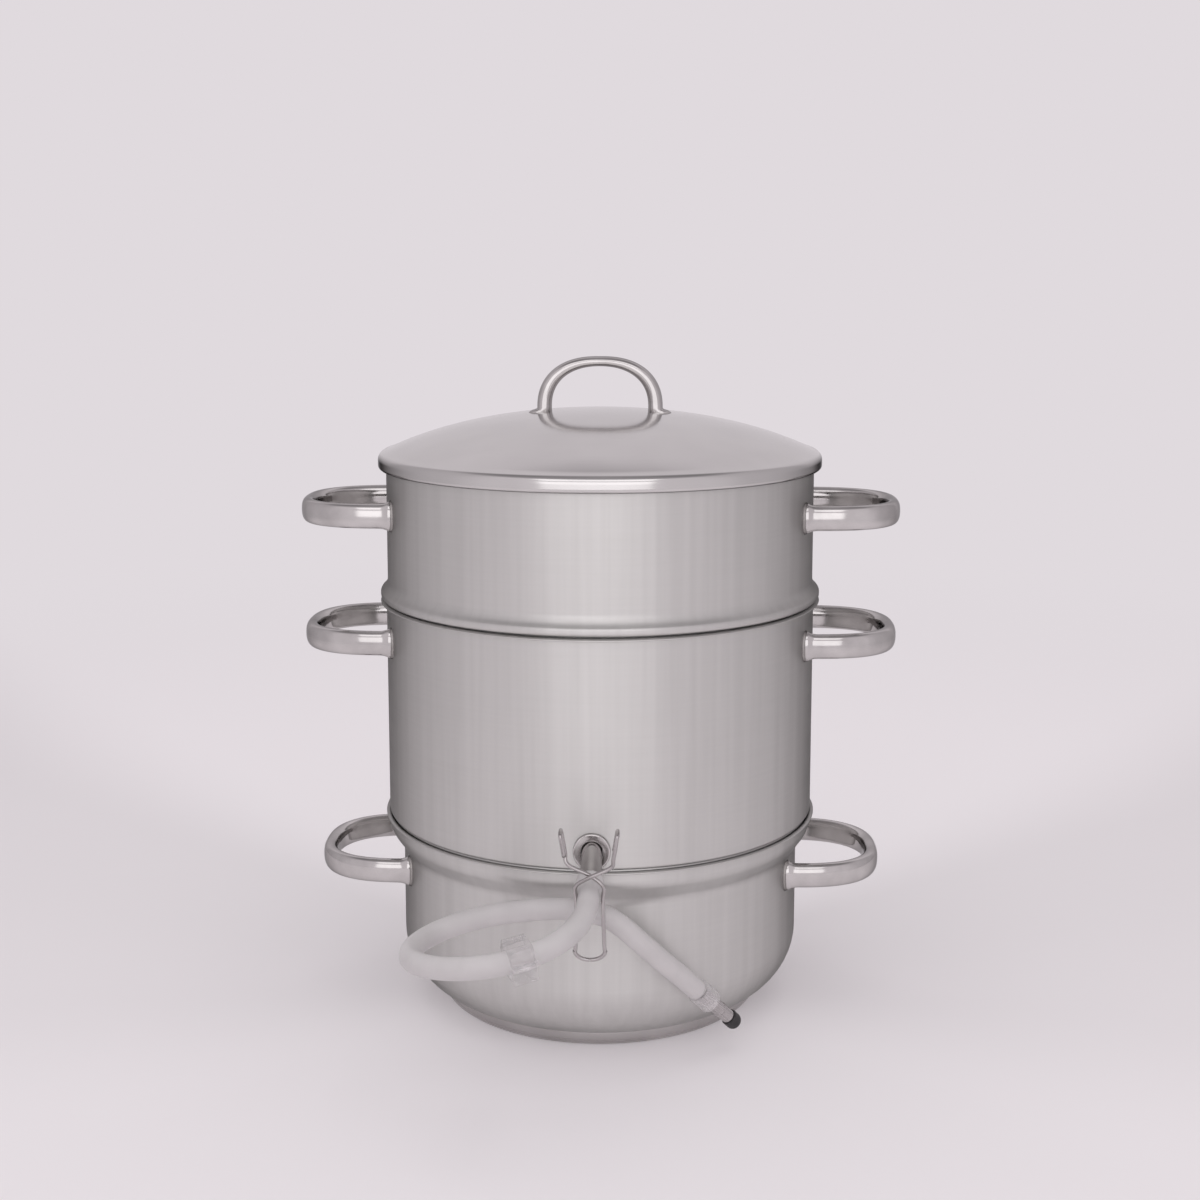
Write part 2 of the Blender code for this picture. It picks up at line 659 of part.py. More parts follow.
def make_pinch_clip():
    """Spring wire clip: two levers that cross above the hose and meet in a round spring below it."""
    centre = HOSE_START + SPOUT_DIRECTION * CLIP_DISTANCE
    axis = (0, -math.cos(CLIP_TILT), -math.sin(CLIP_TILT))
    matrix = axis_matrix(centre, axis, (0, 0, 1))
    spring_centre = CLIP_SPRING_HALF_HEIGHT - CLIP_SPRING_DROP
    half = []
    for x, y in arc(0, 0, 1, -90, -200, 5):
        half.append((x * CLIP_SPRING_HALF_WIDTH, spring_centre + y * CLIP_SPRING_HALF_HEIGHT, 0))
    half[0] = (-SEAT_GAP / 2, half[0][1], 0)
    half.append((-CLIP_JAW_OFFSET, -CLIP_JAW_HALF, 0))
    half.append((-CLIP_JAW_OFFSET, CLIP_JAW_HALF, 0))
    half.append((0, CLIP_CROSSING_RISE, CLIP_LAP))
    for out, up, along in THUMB_PATH_SHARES:
        half.append((THUMB_REACH * out, THUMB_BASE + THUMB_HEIGHT * up, THUMB_HALF_DEPTH * along))
    levers = []
    for name, side in (("pinch_clip_fixed_lever", -1), ("pinch_clip_moving_lever", 1)):
        points = [(side * x, y, side * z) for x, y, z in half]
        lever = tube_along(name, points, WIRE_RADIUS, 1, polished_steel)
        lever.matrix_world = matrix
        levers.append(lever)
    return levers, matrix @ Vector((0, -CLIP_SPRING_DROP, 0)), axis


def make_clamp():
    """Clear two-jaw clamp round the hose: a cradle below, a hinged jaw above, and the hinge pin."""
    route = hose_samples()
    before, middle, after = route[CLAMP_SAMPLE - 1:CLAMP_SAMPLE + 2]
    tangent = (after - before).normalized()
    matrix = axis_matrix((before + 4 * middle + after) / 6, tangent, (0, 0, 1))
    pin_x = CLAMP_HALF_WIDTH + CLAMP_PIN_RADIUS + SEAT_GAP
    pin_gap = CLAMP_PIN_RADIUS + SEAT_GAP
    start = math.degrees(math.asin(CLAMP_PARTING / CLAMP_NOTCH))
    lower_notch = arc(0, 0, CLAMP_NOTCH, -start, start - 180, 8)
    cradle = [(-pin_x - CLAMP_EAR / 2, -pin_gap), (-pin_x - CLAMP_EAR / 2, -CLAMP_EAR - pin_gap)]
    cradle += arc(CLAMP_CORNER - CLAMP_HALF_WIDTH, CLAMP_CORNER - CLAMP_DEPTH, CLAMP_CORNER, 180, 270, 2)
    cradle += arc(CLAMP_HALF_WIDTH - CLAMP_CORNER, CLAMP_CORNER - CLAMP_DEPTH, CLAMP_CORNER, 270, 360, 2)
    cradle.append((CLAMP_HALF_WIDTH, -CLAMP_PARTING))
    cradle += lower_notch
    cradle += [(-CLAMP_HALF_WIDTH + SEAT_GAP, -CLAMP_PARTING), (-CLAMP_HALF_WIDTH + SEAT_GAP, -pin_gap)]
    upper_notch = arc(0, 0, CLAMP_NOTCH, 180 - start, start, 8)
    jaw = [(-CLAMP_HALF_WIDTH + SEAT_GAP, CLAMP_PARTING)]
    jaw += upper_notch
    jaw += [
        (CLAMP_HALF_WIDTH + CLAMP_TAB, CLAMP_PARTING),
        (CLAMP_HALF_WIDTH + CLAMP_TAB, CLAMP_TAB_THICKNESS),
        (CLAMP_HALF_WIDTH, CLAMP_TAB_THICKNESS),
    ]
    jaw += arc(CLAMP_HALF_WIDTH - CLAMP_CORNER, CLAMP_DEPTH - CLAMP_CORNER, CLAMP_CORNER, 0, 90, 2)
    jaw += [
        (CLAMP_CORNER - CLAMP_HALF_WIDTH, CLAMP_DEPTH),
        (-pin_x, CLAMP_EAR + pin_gap),
        (-pin_x, pin_gap),
        (-CLAMP_HALF_WIDTH + SEAT_GAP, pin_gap),
    ]
    base = flat_outline("clamp_cradle", [cradle], CLAMP_LENGTH, clear_plastic)
    lever = flat_outline("clamp_jaw", [jaw], CLAMP_LENGTH, clear_plastic)
    pin_profile = [
        (0, CLAMP_LENGTH / 2),
        (CLAMP_PIN_RADIUS, CLAMP_LENGTH / 2),
        (CLAMP_PIN_RADIUS, -CLAMP_LENGTH / 2),
        (0, -CLAMP_LENGTH / 2),
    ]
    pin = turned("clamp_pin", pin_profile, polished_steel, SMALL_TURN_STEPS)
    base.matrix_world = matrix
    lever.matrix_world = matrix
    pin.matrix_world = matrix @ Matrix.Translation((-pin_x, 0, 0))
    return base, lever, pin, matrix @ Vector((-pin_x, 0, 0)), tangent


def make_basket_shell():
    lip_under = BASKET_RIM_TOP - SHEET
    bead_r = BASKET_RADIUS + BEAD_REACH
    bead_z = BASKET_SEAT + BEAD_RADIUS
    profile = [
        (BASKET_RADIUS + BASKET_LIP, lip_under),
        (BASKET_RADIUS + SHEET, lip_under),
        (BASKET_RADIUS, lip_under - SHEET),
        (BASKET_RADIUS, bead_z + 2 * BEAD_RADIUS),
    ]
    profile += arc(bead_r, bead_z, BEAD_RADIUS, 70, -90, 4)
    profile += [(SLEEVE_RADIUS + SHEET, BASKET_SEAT), (SLEEVE_RADIUS, BASKET_SEAT - SHEET)]
    profile += arc(SLEEVE_RADIUS - SLEEVE_CORNER, BASKET_FLOOR + SLEEVE_CORNER, SLEEVE_CORNER, 0, -90, 2)
    profile.append((SLEEVE_RADIUS - SLEEVE_CORNER - BASKET_LEDGE, BASKET_FLOOR))
    return turned("basket_shell", profile, satin_steel, wall=SHEET)


def circle_outline(x, y, radius, count):
    turns = [math.tau * k / count for k in range(count)]
    return [(x + radius * math.cos(a), y + radius * math.sin(a)) for a in turns]


def make_strainer():
    """Perforated bottom: a disc with rings of round holes, each ring six holes richer than the last."""
    outlines = [circle_outline(0, 0, STRAINER_RADIUS, TURN_STEPS)]
    outlines.append(circle_outline(0, 0, HOLE_RADIUS, HOLE_SIDES))
    ring_count = int((STRAINER_RADIUS - 2 * HOLE_RADIUS) / HOLE_PITCH)
    for ring in range(1, ring_count + 1):
        count = HOLES_PER_RING * ring
        for k in range(count):
            angle = math.tau * k / count
            x = ring * HOLE_PITCH * math.cos(angle)
            y = ring * HOLE_PITCH * math.sin(angle)
            outlines.append(circle_outline(x, y, HOLE_RADIUS, HOLE_SIDES))
    plate = flat_outline("strainer_plate", outlines, STRAINER_SHEET, satin_steel)
    height = BASKET_FLOOR + SHEET + SEAT_GAP + STRAINER_SHEET / 2
    plate.matrix_world = Matrix.Translation((0, 0, height))
    return plate


def make_lid_shell():
    profile = []
    for i in range(DOME_STEPS + 1):
        r = LID_SHOULDER_RADIUS * i / DOME_STEPS
        profile.append((r, dome_height(r)))
    drop = LID_RADIUS - LID_SHOULDER_RADIUS
    profile += arc(LID_SHOULDER_RADIUS, LID_SHOULDER_HEIGHT - drop, drop, 45, 0, 2)
    profile.append((LID_RADIUS, LID_SHOULDER_HEIGHT - LID_BAND_HEIGHT))
    profile.append((LID_RADIUS - LID_HEM, LID_SHOULDER_HEIGHT - LID_BAND_HEIGHT - LID_HEM))
    return turned("lid_shell", profile, polished_steel, wall=SHEET)


def make_lid_handle():
    """Arch lofted from foot to foot: flat feet on the dome and an oval bar, thinner at the top."""
    foot_z = dome_height(LID_HANDLE_HALF_SPAN) + SEAT_GAP
    neck_z = foot_z + LID_FOOT_NECK
    sides_z = neck_z
    rise = LID_APEX + LID_HANDLE_RISE - sides_z
    foot_x = LID_HANDLE_HALF_SPAN + LID_FOOT_SHIFT
    ends = [(foot_x, foot_z, LID_FOOT_THICKNESS), (foot_x, foot_z + LID_FOOT_SHEET, LID_FOOT_THICKNESS)]
    stations = list(ends)
    for i in range(HANDLE_ARC_STEPS + 3):
        angle = math.pi * i / (HANDLE_ARC_STEPS + 2)
        x, y = superellipse(angle, LID_HANDLE_POWER)
        thick = LID_HANDLE_TOP_THICKNESS
        thick += (LID_HANDLE_SIDE_THICKNESS - LID_HANDLE_TOP_THICKNESS) * abs(math.cos(angle))
        stations.append((LID_HANDLE_HALF_SPAN * x, sides_z + rise * y, thick))
    stations += [(-x, z, thick) for x, z, thick in reversed(ends)]
    rings = []
    last = len(stations) - 1
    for i, (x, z, thick) in enumerate(stations):
        before = stations[max(i - 1, 0)]
        after = stations[min(i + 1, last)]
        ahead = Vector((after[0] - before[0], after[1] - before[1]))
        if i in (0, 1, last - 1, last):
            ahead = Vector((0, 1 if i < 2 else -1))
        across = Vector((ahead.y, -ahead.x)).normalized()
        ring = []
        for k in range(HANDLE_SIDES):
            u, v = superellipse(math.tau * k / HANDLE_SIDES, HANDLE_POWER)
            px = x + across.x * thick / 2 * u
            py = LID_HANDLE_WIDTH / 2 * v
            pz = z + across.y * thick / 2 * u
            if i in (0, last):
                pz = dome_height(math.hypot(px, py)) + SEAT_GAP
            if i in (1, last - 1):
                pz = dome_height(math.hypot(px, py)) + SEAT_GAP + LID_FOOT_SHEET
            ring.append((px, py, pz))
        rings.append(ring)
    return lofted("lid_handle", rings, polished_steel)


pot = make_pot_shell() + make_base()
pot += handle_pair("pot", POT_RADIUS, POT_HANDLE_DEPTH, POT_HEIGHT - POT_HANDLE_DROP)
kettle = make_kettle_shell() + [make_steam_cone()] + make_spout()
kettle += handle_pair("kettle", KETTLE_RADIUS, KETTLE_HANDLE_DEPTH, KETTLE_RIM_TOP - KETTLE_HANDLE_DROP)
kettle.append(make_hose())
kettle += make_nozzle()
(clip_fixed, clip_moving), clip_pivot, clip_axis = make_pinch_clip()
clamp_cradle, clamp_jaw, clamp_pin, clamp_pivot, clamp_axis = make_clamp()
kettle += [clip_fixed, clamp_cradle, clamp_pin]
basket = [make_basket_shell(), make_strainer()]
basket += handle_pair("basket", BASKET_RADIUS, BASKET_HANDLE_DEPTH, BASKET_RIM_TOP - BASKET_HANDLE_DROP)
lid = [make_lid_shell(), make_lid_handle()]

bpy.context.view_layer.update()
hang_under(body_empty("pot_body", (0, 0, 0)), pot)
kettle_body = body_empty("kettle_body", (0, 0, KETTLE_SEAT))
hang_under(kettle_body, kettle)
hang_under(body_empty("basket_body", (0, 0, BASKET_SEAT)), basket)
hang_under(body_empty("lid_body", (0, 0, BASKET_RIM_TOP)), lid)
clip_body = body_empty("clip_lever_pivot", clip_pivot)
clamp_body = body_empty("clamp_jaw_pivot", clamp_pivot)
hang_under(clip_body, [clip_moving])
hang_under(clamp_body, [clamp_jaw])
hang_under(kettle_body, [clip_body, clamp_body])
print("clip pivot", [round(v, 5) for v in clip_pivot], "axis", [round(v, 5) for v in clip_axis])
print("clamp pivot", [round(v, 5) for v in clamp_pivot], "axis", [round(v, 5) for v in clamp_axis])
print("hose start", [round(v, 5) for v in HOSE_START])
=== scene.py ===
import math

import bpy
import numpy as np
from mathutils import Matrix


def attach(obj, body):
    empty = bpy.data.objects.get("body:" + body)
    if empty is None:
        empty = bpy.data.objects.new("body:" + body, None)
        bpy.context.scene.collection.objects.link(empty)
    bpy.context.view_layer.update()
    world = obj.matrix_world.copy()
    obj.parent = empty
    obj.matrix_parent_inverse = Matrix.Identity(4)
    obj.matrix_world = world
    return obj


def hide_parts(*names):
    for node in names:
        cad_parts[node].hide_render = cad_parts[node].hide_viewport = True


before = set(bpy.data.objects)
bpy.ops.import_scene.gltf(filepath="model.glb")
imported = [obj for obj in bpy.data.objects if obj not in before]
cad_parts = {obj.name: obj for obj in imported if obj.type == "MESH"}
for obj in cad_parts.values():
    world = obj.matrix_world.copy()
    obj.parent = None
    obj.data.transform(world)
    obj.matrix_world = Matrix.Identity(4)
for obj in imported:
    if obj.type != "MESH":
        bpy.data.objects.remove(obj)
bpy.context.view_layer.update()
scene = bpy.context.scene
print("frame loaded,", len(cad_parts), "nodes")

sheet = 0.0009  # the drums' sheet steel
gap = 0.0003  # between small pieces that touch on the real thing
aroundSteps = 144  # columns round each drum
barSteps = 32  # columns round a handle's bar


def toLinear(hexColour):
    # sRGB hex to linear red, green and blue, alpha one
    parts = np.array([*bytes.fromhex(hexColour[1:])]) / 255
    parts = np.where(parts <= 0.04045, parts / 12.92, ((parts + 0.055) / 1.055) ** 2.4)
    return (*parts.tolist(), 1.0)


def inScene(name, data):
    # a new object that carries the data
    new = bpy.data.objects.new(name, data)
    scene.collection.objects.link(new)
    return new


# Camera: the photograph's viewing point, found from the drums' ellipses, with a longer lens
camera = {
    "place": (0.0373, -1.0683, 0.453), "pitchDown": 8.0, "turn": 2.0, "lens": 53.2, "shiftUp": -0.08,
}

cameraData = bpy.data.cameras.new("camera")
cameraData.sensor_width = 36
cameraData.lens = camera["lens"]
cameraData.shift_y = camera["shiftUp"]
cameraObject = inScene("camera", cameraData)
cameraObject.location = camera["place"]
cameraObject.rotation_euler = (math.radians(90 - camera["pitchDown"]), 0, math.radians(camera["turn"]))
scene.camera = cameraObject
print("camera set")


def meshObject(name, points, corners, sizes, uvs):
    # vertices, then every face's corners in one row and how many corners each face has
    used, corners = np.unique(corners, return_inverse=True)
    mesh = bpy.data.meshes.new(name)
    mesh.vertices.add(len(used))
    mesh.vertices.foreach_set("co", points[used].astype(np.float32).ravel())
    mesh.loops.add(len(corners))
    mesh.loops.foreach_set("vertex_index", corners.astype(np.int32))
    mesh.polygons.add(len(sizes))
    mesh.polygons.foreach_set("loop_start", np.concatenate([[0], np.cumsum(sizes)[:-1]]).astype(np.int32))
    mesh.uv_layers.new(name="surface").data.foreach_set("uv", uvs.astype(np.float32).ravel())
    mesh.update(calc_edges=True)
    mesh.validate()
    mesh.calc_loop_triangles()
    triangles = np.zeros(len(mesh.loop_triangles) * 3, np.int32)
    mesh.loop_triangles.foreach_get("vertices", triangles)
    a, b, c = np.moveaxis(points[used][triangles.reshape(-1, 3)], 1, 0)
    if np.einsum("ij,ij->", a, np.cross(b, c)) < 0:  # of negative volume, so its faces are turned out
        mesh.flip_normals()
    mesh.shade_smooth()
    return inScene(name, mesh)


def gridObject(name, points, wrapRows=False, endFaces=False):
    # a surface of two parameters: rows run along the profile or path, columns run round it and close on
    # themselves. A row whose points all meet is one pole. wrapRows joins the last row to the first.
    rows, columns = points.shape[:2]
    along = np.linalg.norm(np.diff(points, axis=0), axis=2).mean(axis=1)
    around = np.linalg.norm(np.roll(points, -1, 1) - points, axis=2).sum(axis=1).max()
    v = np.concatenate([[0], np.cumsum(along)])
    u = np.linspace(0, around, columns + 1)
    index = np.arange(rows * columns).reshape(rows, columns)
    poles = np.ptp(points, axis=1).max(axis=1) < 1e-7
    index[poles] = index[poles][:, :1]
    index = np.hstack([index, index[:, :1]])
    if wrapRows:
        index = np.vstack([index, index[:1]])
        v = np.append(v, v[-1] + np.linalg.norm(points[0] - points[-1], axis=1).mean())
    quads = np.stack([index[:-1, :-1], index[:-1, 1:], index[1:, 1:], index[1:, :-1]], -1).reshape(-1, 4)
    grid = np.stack(np.broadcast_arrays(u[None, :], v[:, None]), -1)
    uvs = np.stack([grid[:-1, :-1], grid[:-1, 1:], grid[1:, 1:], grid[1:, :-1]], 2).reshape(-1, 4, 2)
    keep = np.ones(quads.shape, bool)
    keep[quads[:, 0] == quads[:, 1], 1] = False
    keep[quads[:, 2] == quads[:, 3], 3] = False
    corners, sizes, uvs = quads[keep], keep.sum(axis=1), uvs[keep]
    if endFaces:
        first, last = index[0, :-1][::-1], index[-1, :-1]
        corners = np.concatenate([corners, first, last])
        sizes = np.concatenate([sizes, [columns, columns]])
        uvs = np.concatenate([uvs, np.zeros((2 * columns, 2))])
    return meshObject(name, points.reshape(-1, 3), corners, sizes, uvs)


def capped(rows):
    # a tube's rows, with a row at each end whose points all meet in the middle of the end ring
    first, last = (rows[end].mean(axis=0, keepdims=True).repeat(rows.shape[1], 0)[None] for end in (0, -1))
    return np.concatenate([first, rows, last])


def unit(vectors):
    # each row's vector at length one
    return vectors / np.maximum(np.linalg.norm(vectors, axis=1)[:, None], 1e-9)


def arcPoints(centre, radius, startDeg, endDeg, count):
    # points of a circle's arc in the plane, both ends included
    angles = np.radians(np.linspace(startDeg, endDeg, count))
    return np.stack([centre[0] + radius * np.cos(angles), centre[1] + radius * np.sin(angles)], -1)


def circlePoints(radius, count):
    # points spaced evenly round a circle
    return arcPoints((0, 0), radius, 0, 360, count + 1)[:-1]


def roundedPath(corners, support=0.0005, arcSteps=8):
    # straight lines between corners of (r, z, fillet radius), each corner replaced by its tangent arc.
    # Support points beside each arc keep the shading of the straight stretches flat.
    path = [np.array(corners[0][:2])]
    for before, corner, after in zip(corners, corners[1:], corners[2:]):
        middle, radius = np.array(corner[:2]), corner[2]
        back, ahead = unit(np.array([before[:2], after[:2]]) - middle)
        angle = math.acos(np.clip(back @ ahead, -1, 1))
        if radius <= 0 or angle > math.radians(179.8):
            path.append(middle)
            continue
        reach = radius / math.tan(angle / 2)
        centre = middle + (back + ahead) * radius / math.sin(angle)
        start, end = middle + back * reach - centre, middle + ahead * reach - centre
        turn = math.atan2(start[0] * end[1] - start[1] * end[0], start @ end)
        angles = math.atan2(start[1], start[0]) + np.linspace(0, turn, arcSteps + 1)
        bend = centre + radius * np.stack([np.cos(angles), np.sin(angles)], -1)
        path += [middle + back * (reach + support), *bend, middle + ahead * (reach + support)]
    path.append(np.array(corners[-1][:2]))
    return np.array(path)


def sheetObject(name, path, wall=sheet, endSteps=6):
    # a bent sheet turned about Z: the outer path, the same path moved in by the wall, a half round at free ends
    ahead = unit(np.gradient(path, axis=0))
    inner = path + wall * np.stack([ahead[:, 1], -ahead[:, 0]], -1)
    onAxis = path[:, 0] < 1e-9
    inner[onAxis, 0] = 0
    turns = np.radians(np.linspace(0, 180, endSteps + 2)[1:-1])[:, None]

    def halfRound(start, end, outward):
        # from start to end round their middle, bulging outward
        middle, arm = (start + end) / 2, (start - end) / 2
        return middle + arm * np.cos(turns) + outward * wall / 2 * np.sin(turns)

    profile = [inner[::-1], path]
    if not onAxis[0]:
        profile.insert(1, halfRound(inner[0], path[0], -ahead[0]))
    if not onAxis[-1]:
        profile.append(halfRound(path[-1], inner[-1], ahead[-1]))
    return turnedObject(name, np.concatenate(profile), wrapRows=not onAxis[0] and not onAxis[-1])


def axisFrame(origin, axis):
    # local Z along the axis, and local Y as near straight up as it can be
    z = np.array(axis, float) / np.linalg.norm(axis)
    x = np.cross((0, 0, 1), z)
    x /= np.linalg.norm(x)
    return np.array(origin, float), np.stack([x, np.cross(z, x), z], -1)


def placed(points, place):
    # local points turned and moved to a frame of axisFrame
    origin, turn = place
    return points @ turn.T + origin


def turnedObject(name, profile, place=None, steps=aroundSteps, wrapRows=False):
    # a profile of (r, z) turned about Z: x = r cos a, y = r sin a. The seam lies at the back.
    angles = np.linspace(0, math.tau, steps, endpoint=False) + math.pi / 2
    r, z = profile[:, :1], profile[:, 1:]
    points = np.stack([r * np.cos(angles), r * np.sin(angles), z + 0 * angles], -1)
    if place is not None:
        points = placed(points, place)
    return gridObject(name, points, wrapRows)


def smallTurned(name, corners, place, columns, arcSteps=5, wrapRows=False):
    # a small part turned from rounded corners, about its own axis
    return turnedObject(name, roundedPath(corners, support=0.0001, arcSteps=arcSteps), place, columns, wrapRows)


def catmullRom(points, samples):
    # the smooth curve through the points: cubic pieces, each point's slope half the chord of its neighbours
    points = np.array(points, float)
    padded = np.vstack([2 * points[0] - points[1], points, 2 * points[-1] - points[-2]])
    p0, p1, p2, p3 = (padded[i:len(padded) - 3 + i, None, :] for i in range(4))
    t = (np.arange(samples) / samples)[None, :, None]
    curve = 2 * p1 + (p2 - p0) * t + (2 * p0 - 5 * p1 + 4 * p2 - p3) * t ** 2
    curve = (curve + (3 * p1 - p0 - 3 * p2 + p3) * t ** 3) / 2
    return np.vstack([curve.reshape(-1, points.shape[1]), points[-1:]])


def evenly(path, count):
    # the same path with its points spaced evenly along it
    lengths = np.concatenate([[0], np.cumsum(np.linalg.norm(np.diff(path, axis=0), axis=1))])
    places = np.linspace(0, lengths[-1], count)
    return np.stack([np.interp(places, lengths, path[:, i]) for i in range(path.shape[1])], -1), places


def tubeRows(path, radii, firstSide, count):
    # circles of the given radii round the path's points: centre + r (side cos a + other sin a), with both sides
    # square to the path and turned as little as it allows
    ahead = unit(np.gradient(path, axis=0))
    sides = [np.array(firstSide, float)]
    for direction in ahead:
        side = sides[-1] - direction * (sides[-1] @ direction)
        sides.append(side / np.linalg.norm(side))
    sides = np.array(sides[1:])
    angles = np.linspace(0, math.tau, count, endpoint=False)[None, :, None]
    ring = sides[:, None, :] * np.cos(angles) + np.cross(ahead, sides)[:, None, :] * np.sin(angles)
    return path[:, None, :] + np.reshape(radii, (-1, 1, 1)) * ring


def superellipse(angles, power):
    # the unit curve |x|^power + |y|^power = 1
    c, s = np.cos(angles), np.sin(angles)
    return np.sign(c) * np.abs(c) ** (2 / power), np.sign(s) * np.abs(s) ** (2 / power)


def ovalBar(line, ahead, thick, power):
    # a superellipse carried along a line of (a, b), thick across it in its plane; also its unit half width
    u, v = superellipse(np.linspace(0, math.tau, barSteps, endpoint=False), power)
    across = unit(np.stack([ahead[:, 1], -ahead[:, 0]], -1))
    return line[:, None, :] + across[:, None, :] * (thick[:, None] / 2 * u)[:, :, None], v / 2


# Juice hose: one silicone tube, its start pulled over the spout's bead, its end in the nozzle's sleeve
hose = {
    "radius": 0.006, "bore": 0.0044, "start": (0.0, -0.15209, 0.11713), "slope": 26.0,
    "cuffBack": 0.0035, "cuffLength": 0.005, "cuffSwell": 0.0013, "boreSwellShare": 1.1,
    "easing": 20, "heldPoints": 4, "pathPoints": 220, "columns": 28,
    "route": [
        (-0.0010, -0.1680, 0.1103), (-0.0050, -0.1840, 0.1062), (-0.0135, -0.1980, 0.1032),
        (-0.0260, -0.2085, 0.1003), (-0.0415, -0.2142, 0.0975), (-0.0580, -0.2142, 0.0948),
        (-0.0740, -0.2085, 0.0922), (-0.0868, -0.1972, 0.0895), (-0.0940, -0.1812, 0.0870),
        (-0.0942, -0.1640, 0.0857), (-0.0872, -0.1484, 0.0860), (-0.0750, -0.1372, 0.0878),
        (-0.0590, -0.1315, 0.0905), (-0.0415, -0.1330, 0.0942), (-0.0235, -0.1372, 0.0975),
        (-0.0060, -0.1395, 0.0985), (0.0100, -0.1402, 0.0943), (0.0240, -0.1388, 0.0826),
        (0.0365, -0.1338, 0.0692), (0.0480, -0.1246, 0.0559), (0.0590, -0.1160, 0.0428),
    ],
}

spoutSlope = math.radians(hose["slope"])
spoutDirection = np.array([0, -math.cos(spoutSlope), -math.sin(spoutSlope)])
hosePoints = [hose["start"], *hose["route"]]
cuffStart = np.array(hose["start"]) - spoutDirection * hose["cuffBack"]
hosePath = np.vstack([cuffStart, catmullRom(hosePoints, samples=8)])
hosePath, hosePlaces = evenly(hosePath, hose["pathPoints"])
held = hose["heldPoints"]
# each point between the held ends moves halfway to the middle of its neighbours, which eases the tight spots
for _ in range(hose["easing"]):
    neighbours = hosePath[held - 1:-held - 1] + hosePath[held + 1:-held + 1]
    hosePath[held:-held] += (neighbours - 2 * hosePath[held:-held]) / 4
# the cuff over the bead narrows along s = 3 t^2 - 2 t^3, with t the root of the share of the cuff that is left
cuffLeft = np.clip(1 - hosePlaces / (hose["cuffBack"] + hose["cuffLength"]), 0, 1) ** 0.5
swell = hose["cuffSwell"] * (3 * cuffLeft ** 2 - 2 * cuffLeft ** 3)
outside = tubeRows(hosePath, hose["radius"] + swell, (1, 0, 0), hose["columns"])
inside = tubeRows(hosePath, hose["bore"] + swell * hose["boreSwellShare"], (1, 0, 0), hose["columns"])
hoseObject = gridObject("juiceHose", np.concatenate([outside, inside[::-1]]), wrapRows=True)
halfPoints = catmullRom(hosePoints, samples=2)
nozzlePlace = axisFrame(hosePoints[-1], halfPoints[-1] - halfPoints[-2])

# Nozzle on the hose's free end: soft sleeve, metal tube and dark rounded tip
nozzle = {
    "sleeveLength": 0.013, "sleeveOuter": 0.0071, "sleeveRibDepth": 0.0005,
    "ribPlaces": (0.0042, 0.005, 0.0062, 0.007),
    "sleeveStartRound": 0.0012, "sleeveEndRound": 0.001, "edgeRound": 0.0004,
    "socket": 0.0047, "socketFloor": 0.0033, "socketRound": 0.0005,
    "tubeStart": 0.0036, "tubeLength": 0.0275, "tubeRadius": 0.004, "tubeBead": 0.0004, "beadRound": 0.0006,
    "tipLength": 0.0085, "tipRadius": 0.0048, "tipStartRound": 0.0008, "tipRound": 0.0036, "columns": 36,
}

outer, ribbed = nozzle["sleeveOuter"], nozzle["sleeveOuter"] - nozzle["sleeveRibDepth"]
sleeveEnd, edgeRound = nozzle["sleeveLength"], nozzle["edgeRound"]
sleeveObject = smallTurned("nozzleSleeve", [
    (0, gap, 0), (outer, gap, nozzle["sleeveStartRound"]),
    *[(r, z, edgeRound) for r, z in zip((outer, ribbed, ribbed, outer), nozzle["ribPlaces"])],
    (outer, sleeveEnd, nozzle["sleeveEndRound"]), (nozzle["socket"], sleeveEnd, nozzle["socketRound"]),
    (nozzle["socket"], nozzle["socketFloor"], 0), (0, nozzle["socketFloor"], 0),
], nozzlePlace, nozzle["columns"])
tubeEnd = nozzle["tubeStart"] + nozzle["tubeLength"]
beadAt = (tubeEnd + sleeveEnd) / 2
tubeRadius, beadRadius = nozzle["tubeRadius"], nozzle["tubeRadius"] + nozzle["tubeBead"]
nozzleTubeObject = smallTurned("nozzleTube", [
    (0, nozzle["tubeStart"], 0), (tubeRadius, nozzle["tubeStart"], edgeRound),
    (tubeRadius, beadAt - sheet, nozzle["beadRound"]), (beadRadius, beadAt, nozzle["beadRound"]),
    (tubeRadius, beadAt + sheet, nozzle["beadRound"]), (tubeRadius, tubeEnd, edgeRound), (0, tubeEnd, 0),
], nozzlePlace, nozzle["columns"])
tipStart = tubeEnd + gap
tipEnd = tipStart + nozzle["tipLength"]
tipObject = smallTurned("nozzleTip", [
    (0, tipStart, 0), (nozzle["tipRadius"], tipStart, nozzle["tipStartRound"]),
    (nozzle["tipRadius"], tipEnd, nozzle["tipRound"]), (0, tipEnd, 0),
], nozzlePlace, nozzle["columns"], arcSteps=10)
print("nozzle made")

# Wire pinch clip: two levers that cross above the hose and meet in a round spring below it
clip = {
    "distance": 0.0095, "tilt": 10.0, "wire": 0.0011, "firstSide": (0, 0.17, 0.98), "columns": 12,
    "jawOffset": 0.0072, "jawHalf": 0.007, "crossingRise": 0.0128, "lap": 0.0014,
    "springDrop": 0.038, "springHalfWidth": 0.0083, "springHalfHeight": 0.0058,
    "springEndDeg": -200, "springPoints": 6,
    "thumbBase": 0.019, "thumbHeight": 0.0196, "thumbReach": 0.0151, "thumbHalfDepth": 0.0036,
    "thumbShares": [(0.76, 0.00, 0.40), (0.86, 0.33, 1.00), (0.98, 0.92, 1.00), (1.00, 1.00, 0.55),
                    (1.00, 1.00, -0.55), (0.98, 0.92, -1.00), (0.87, 0.38, -1.00)],
}

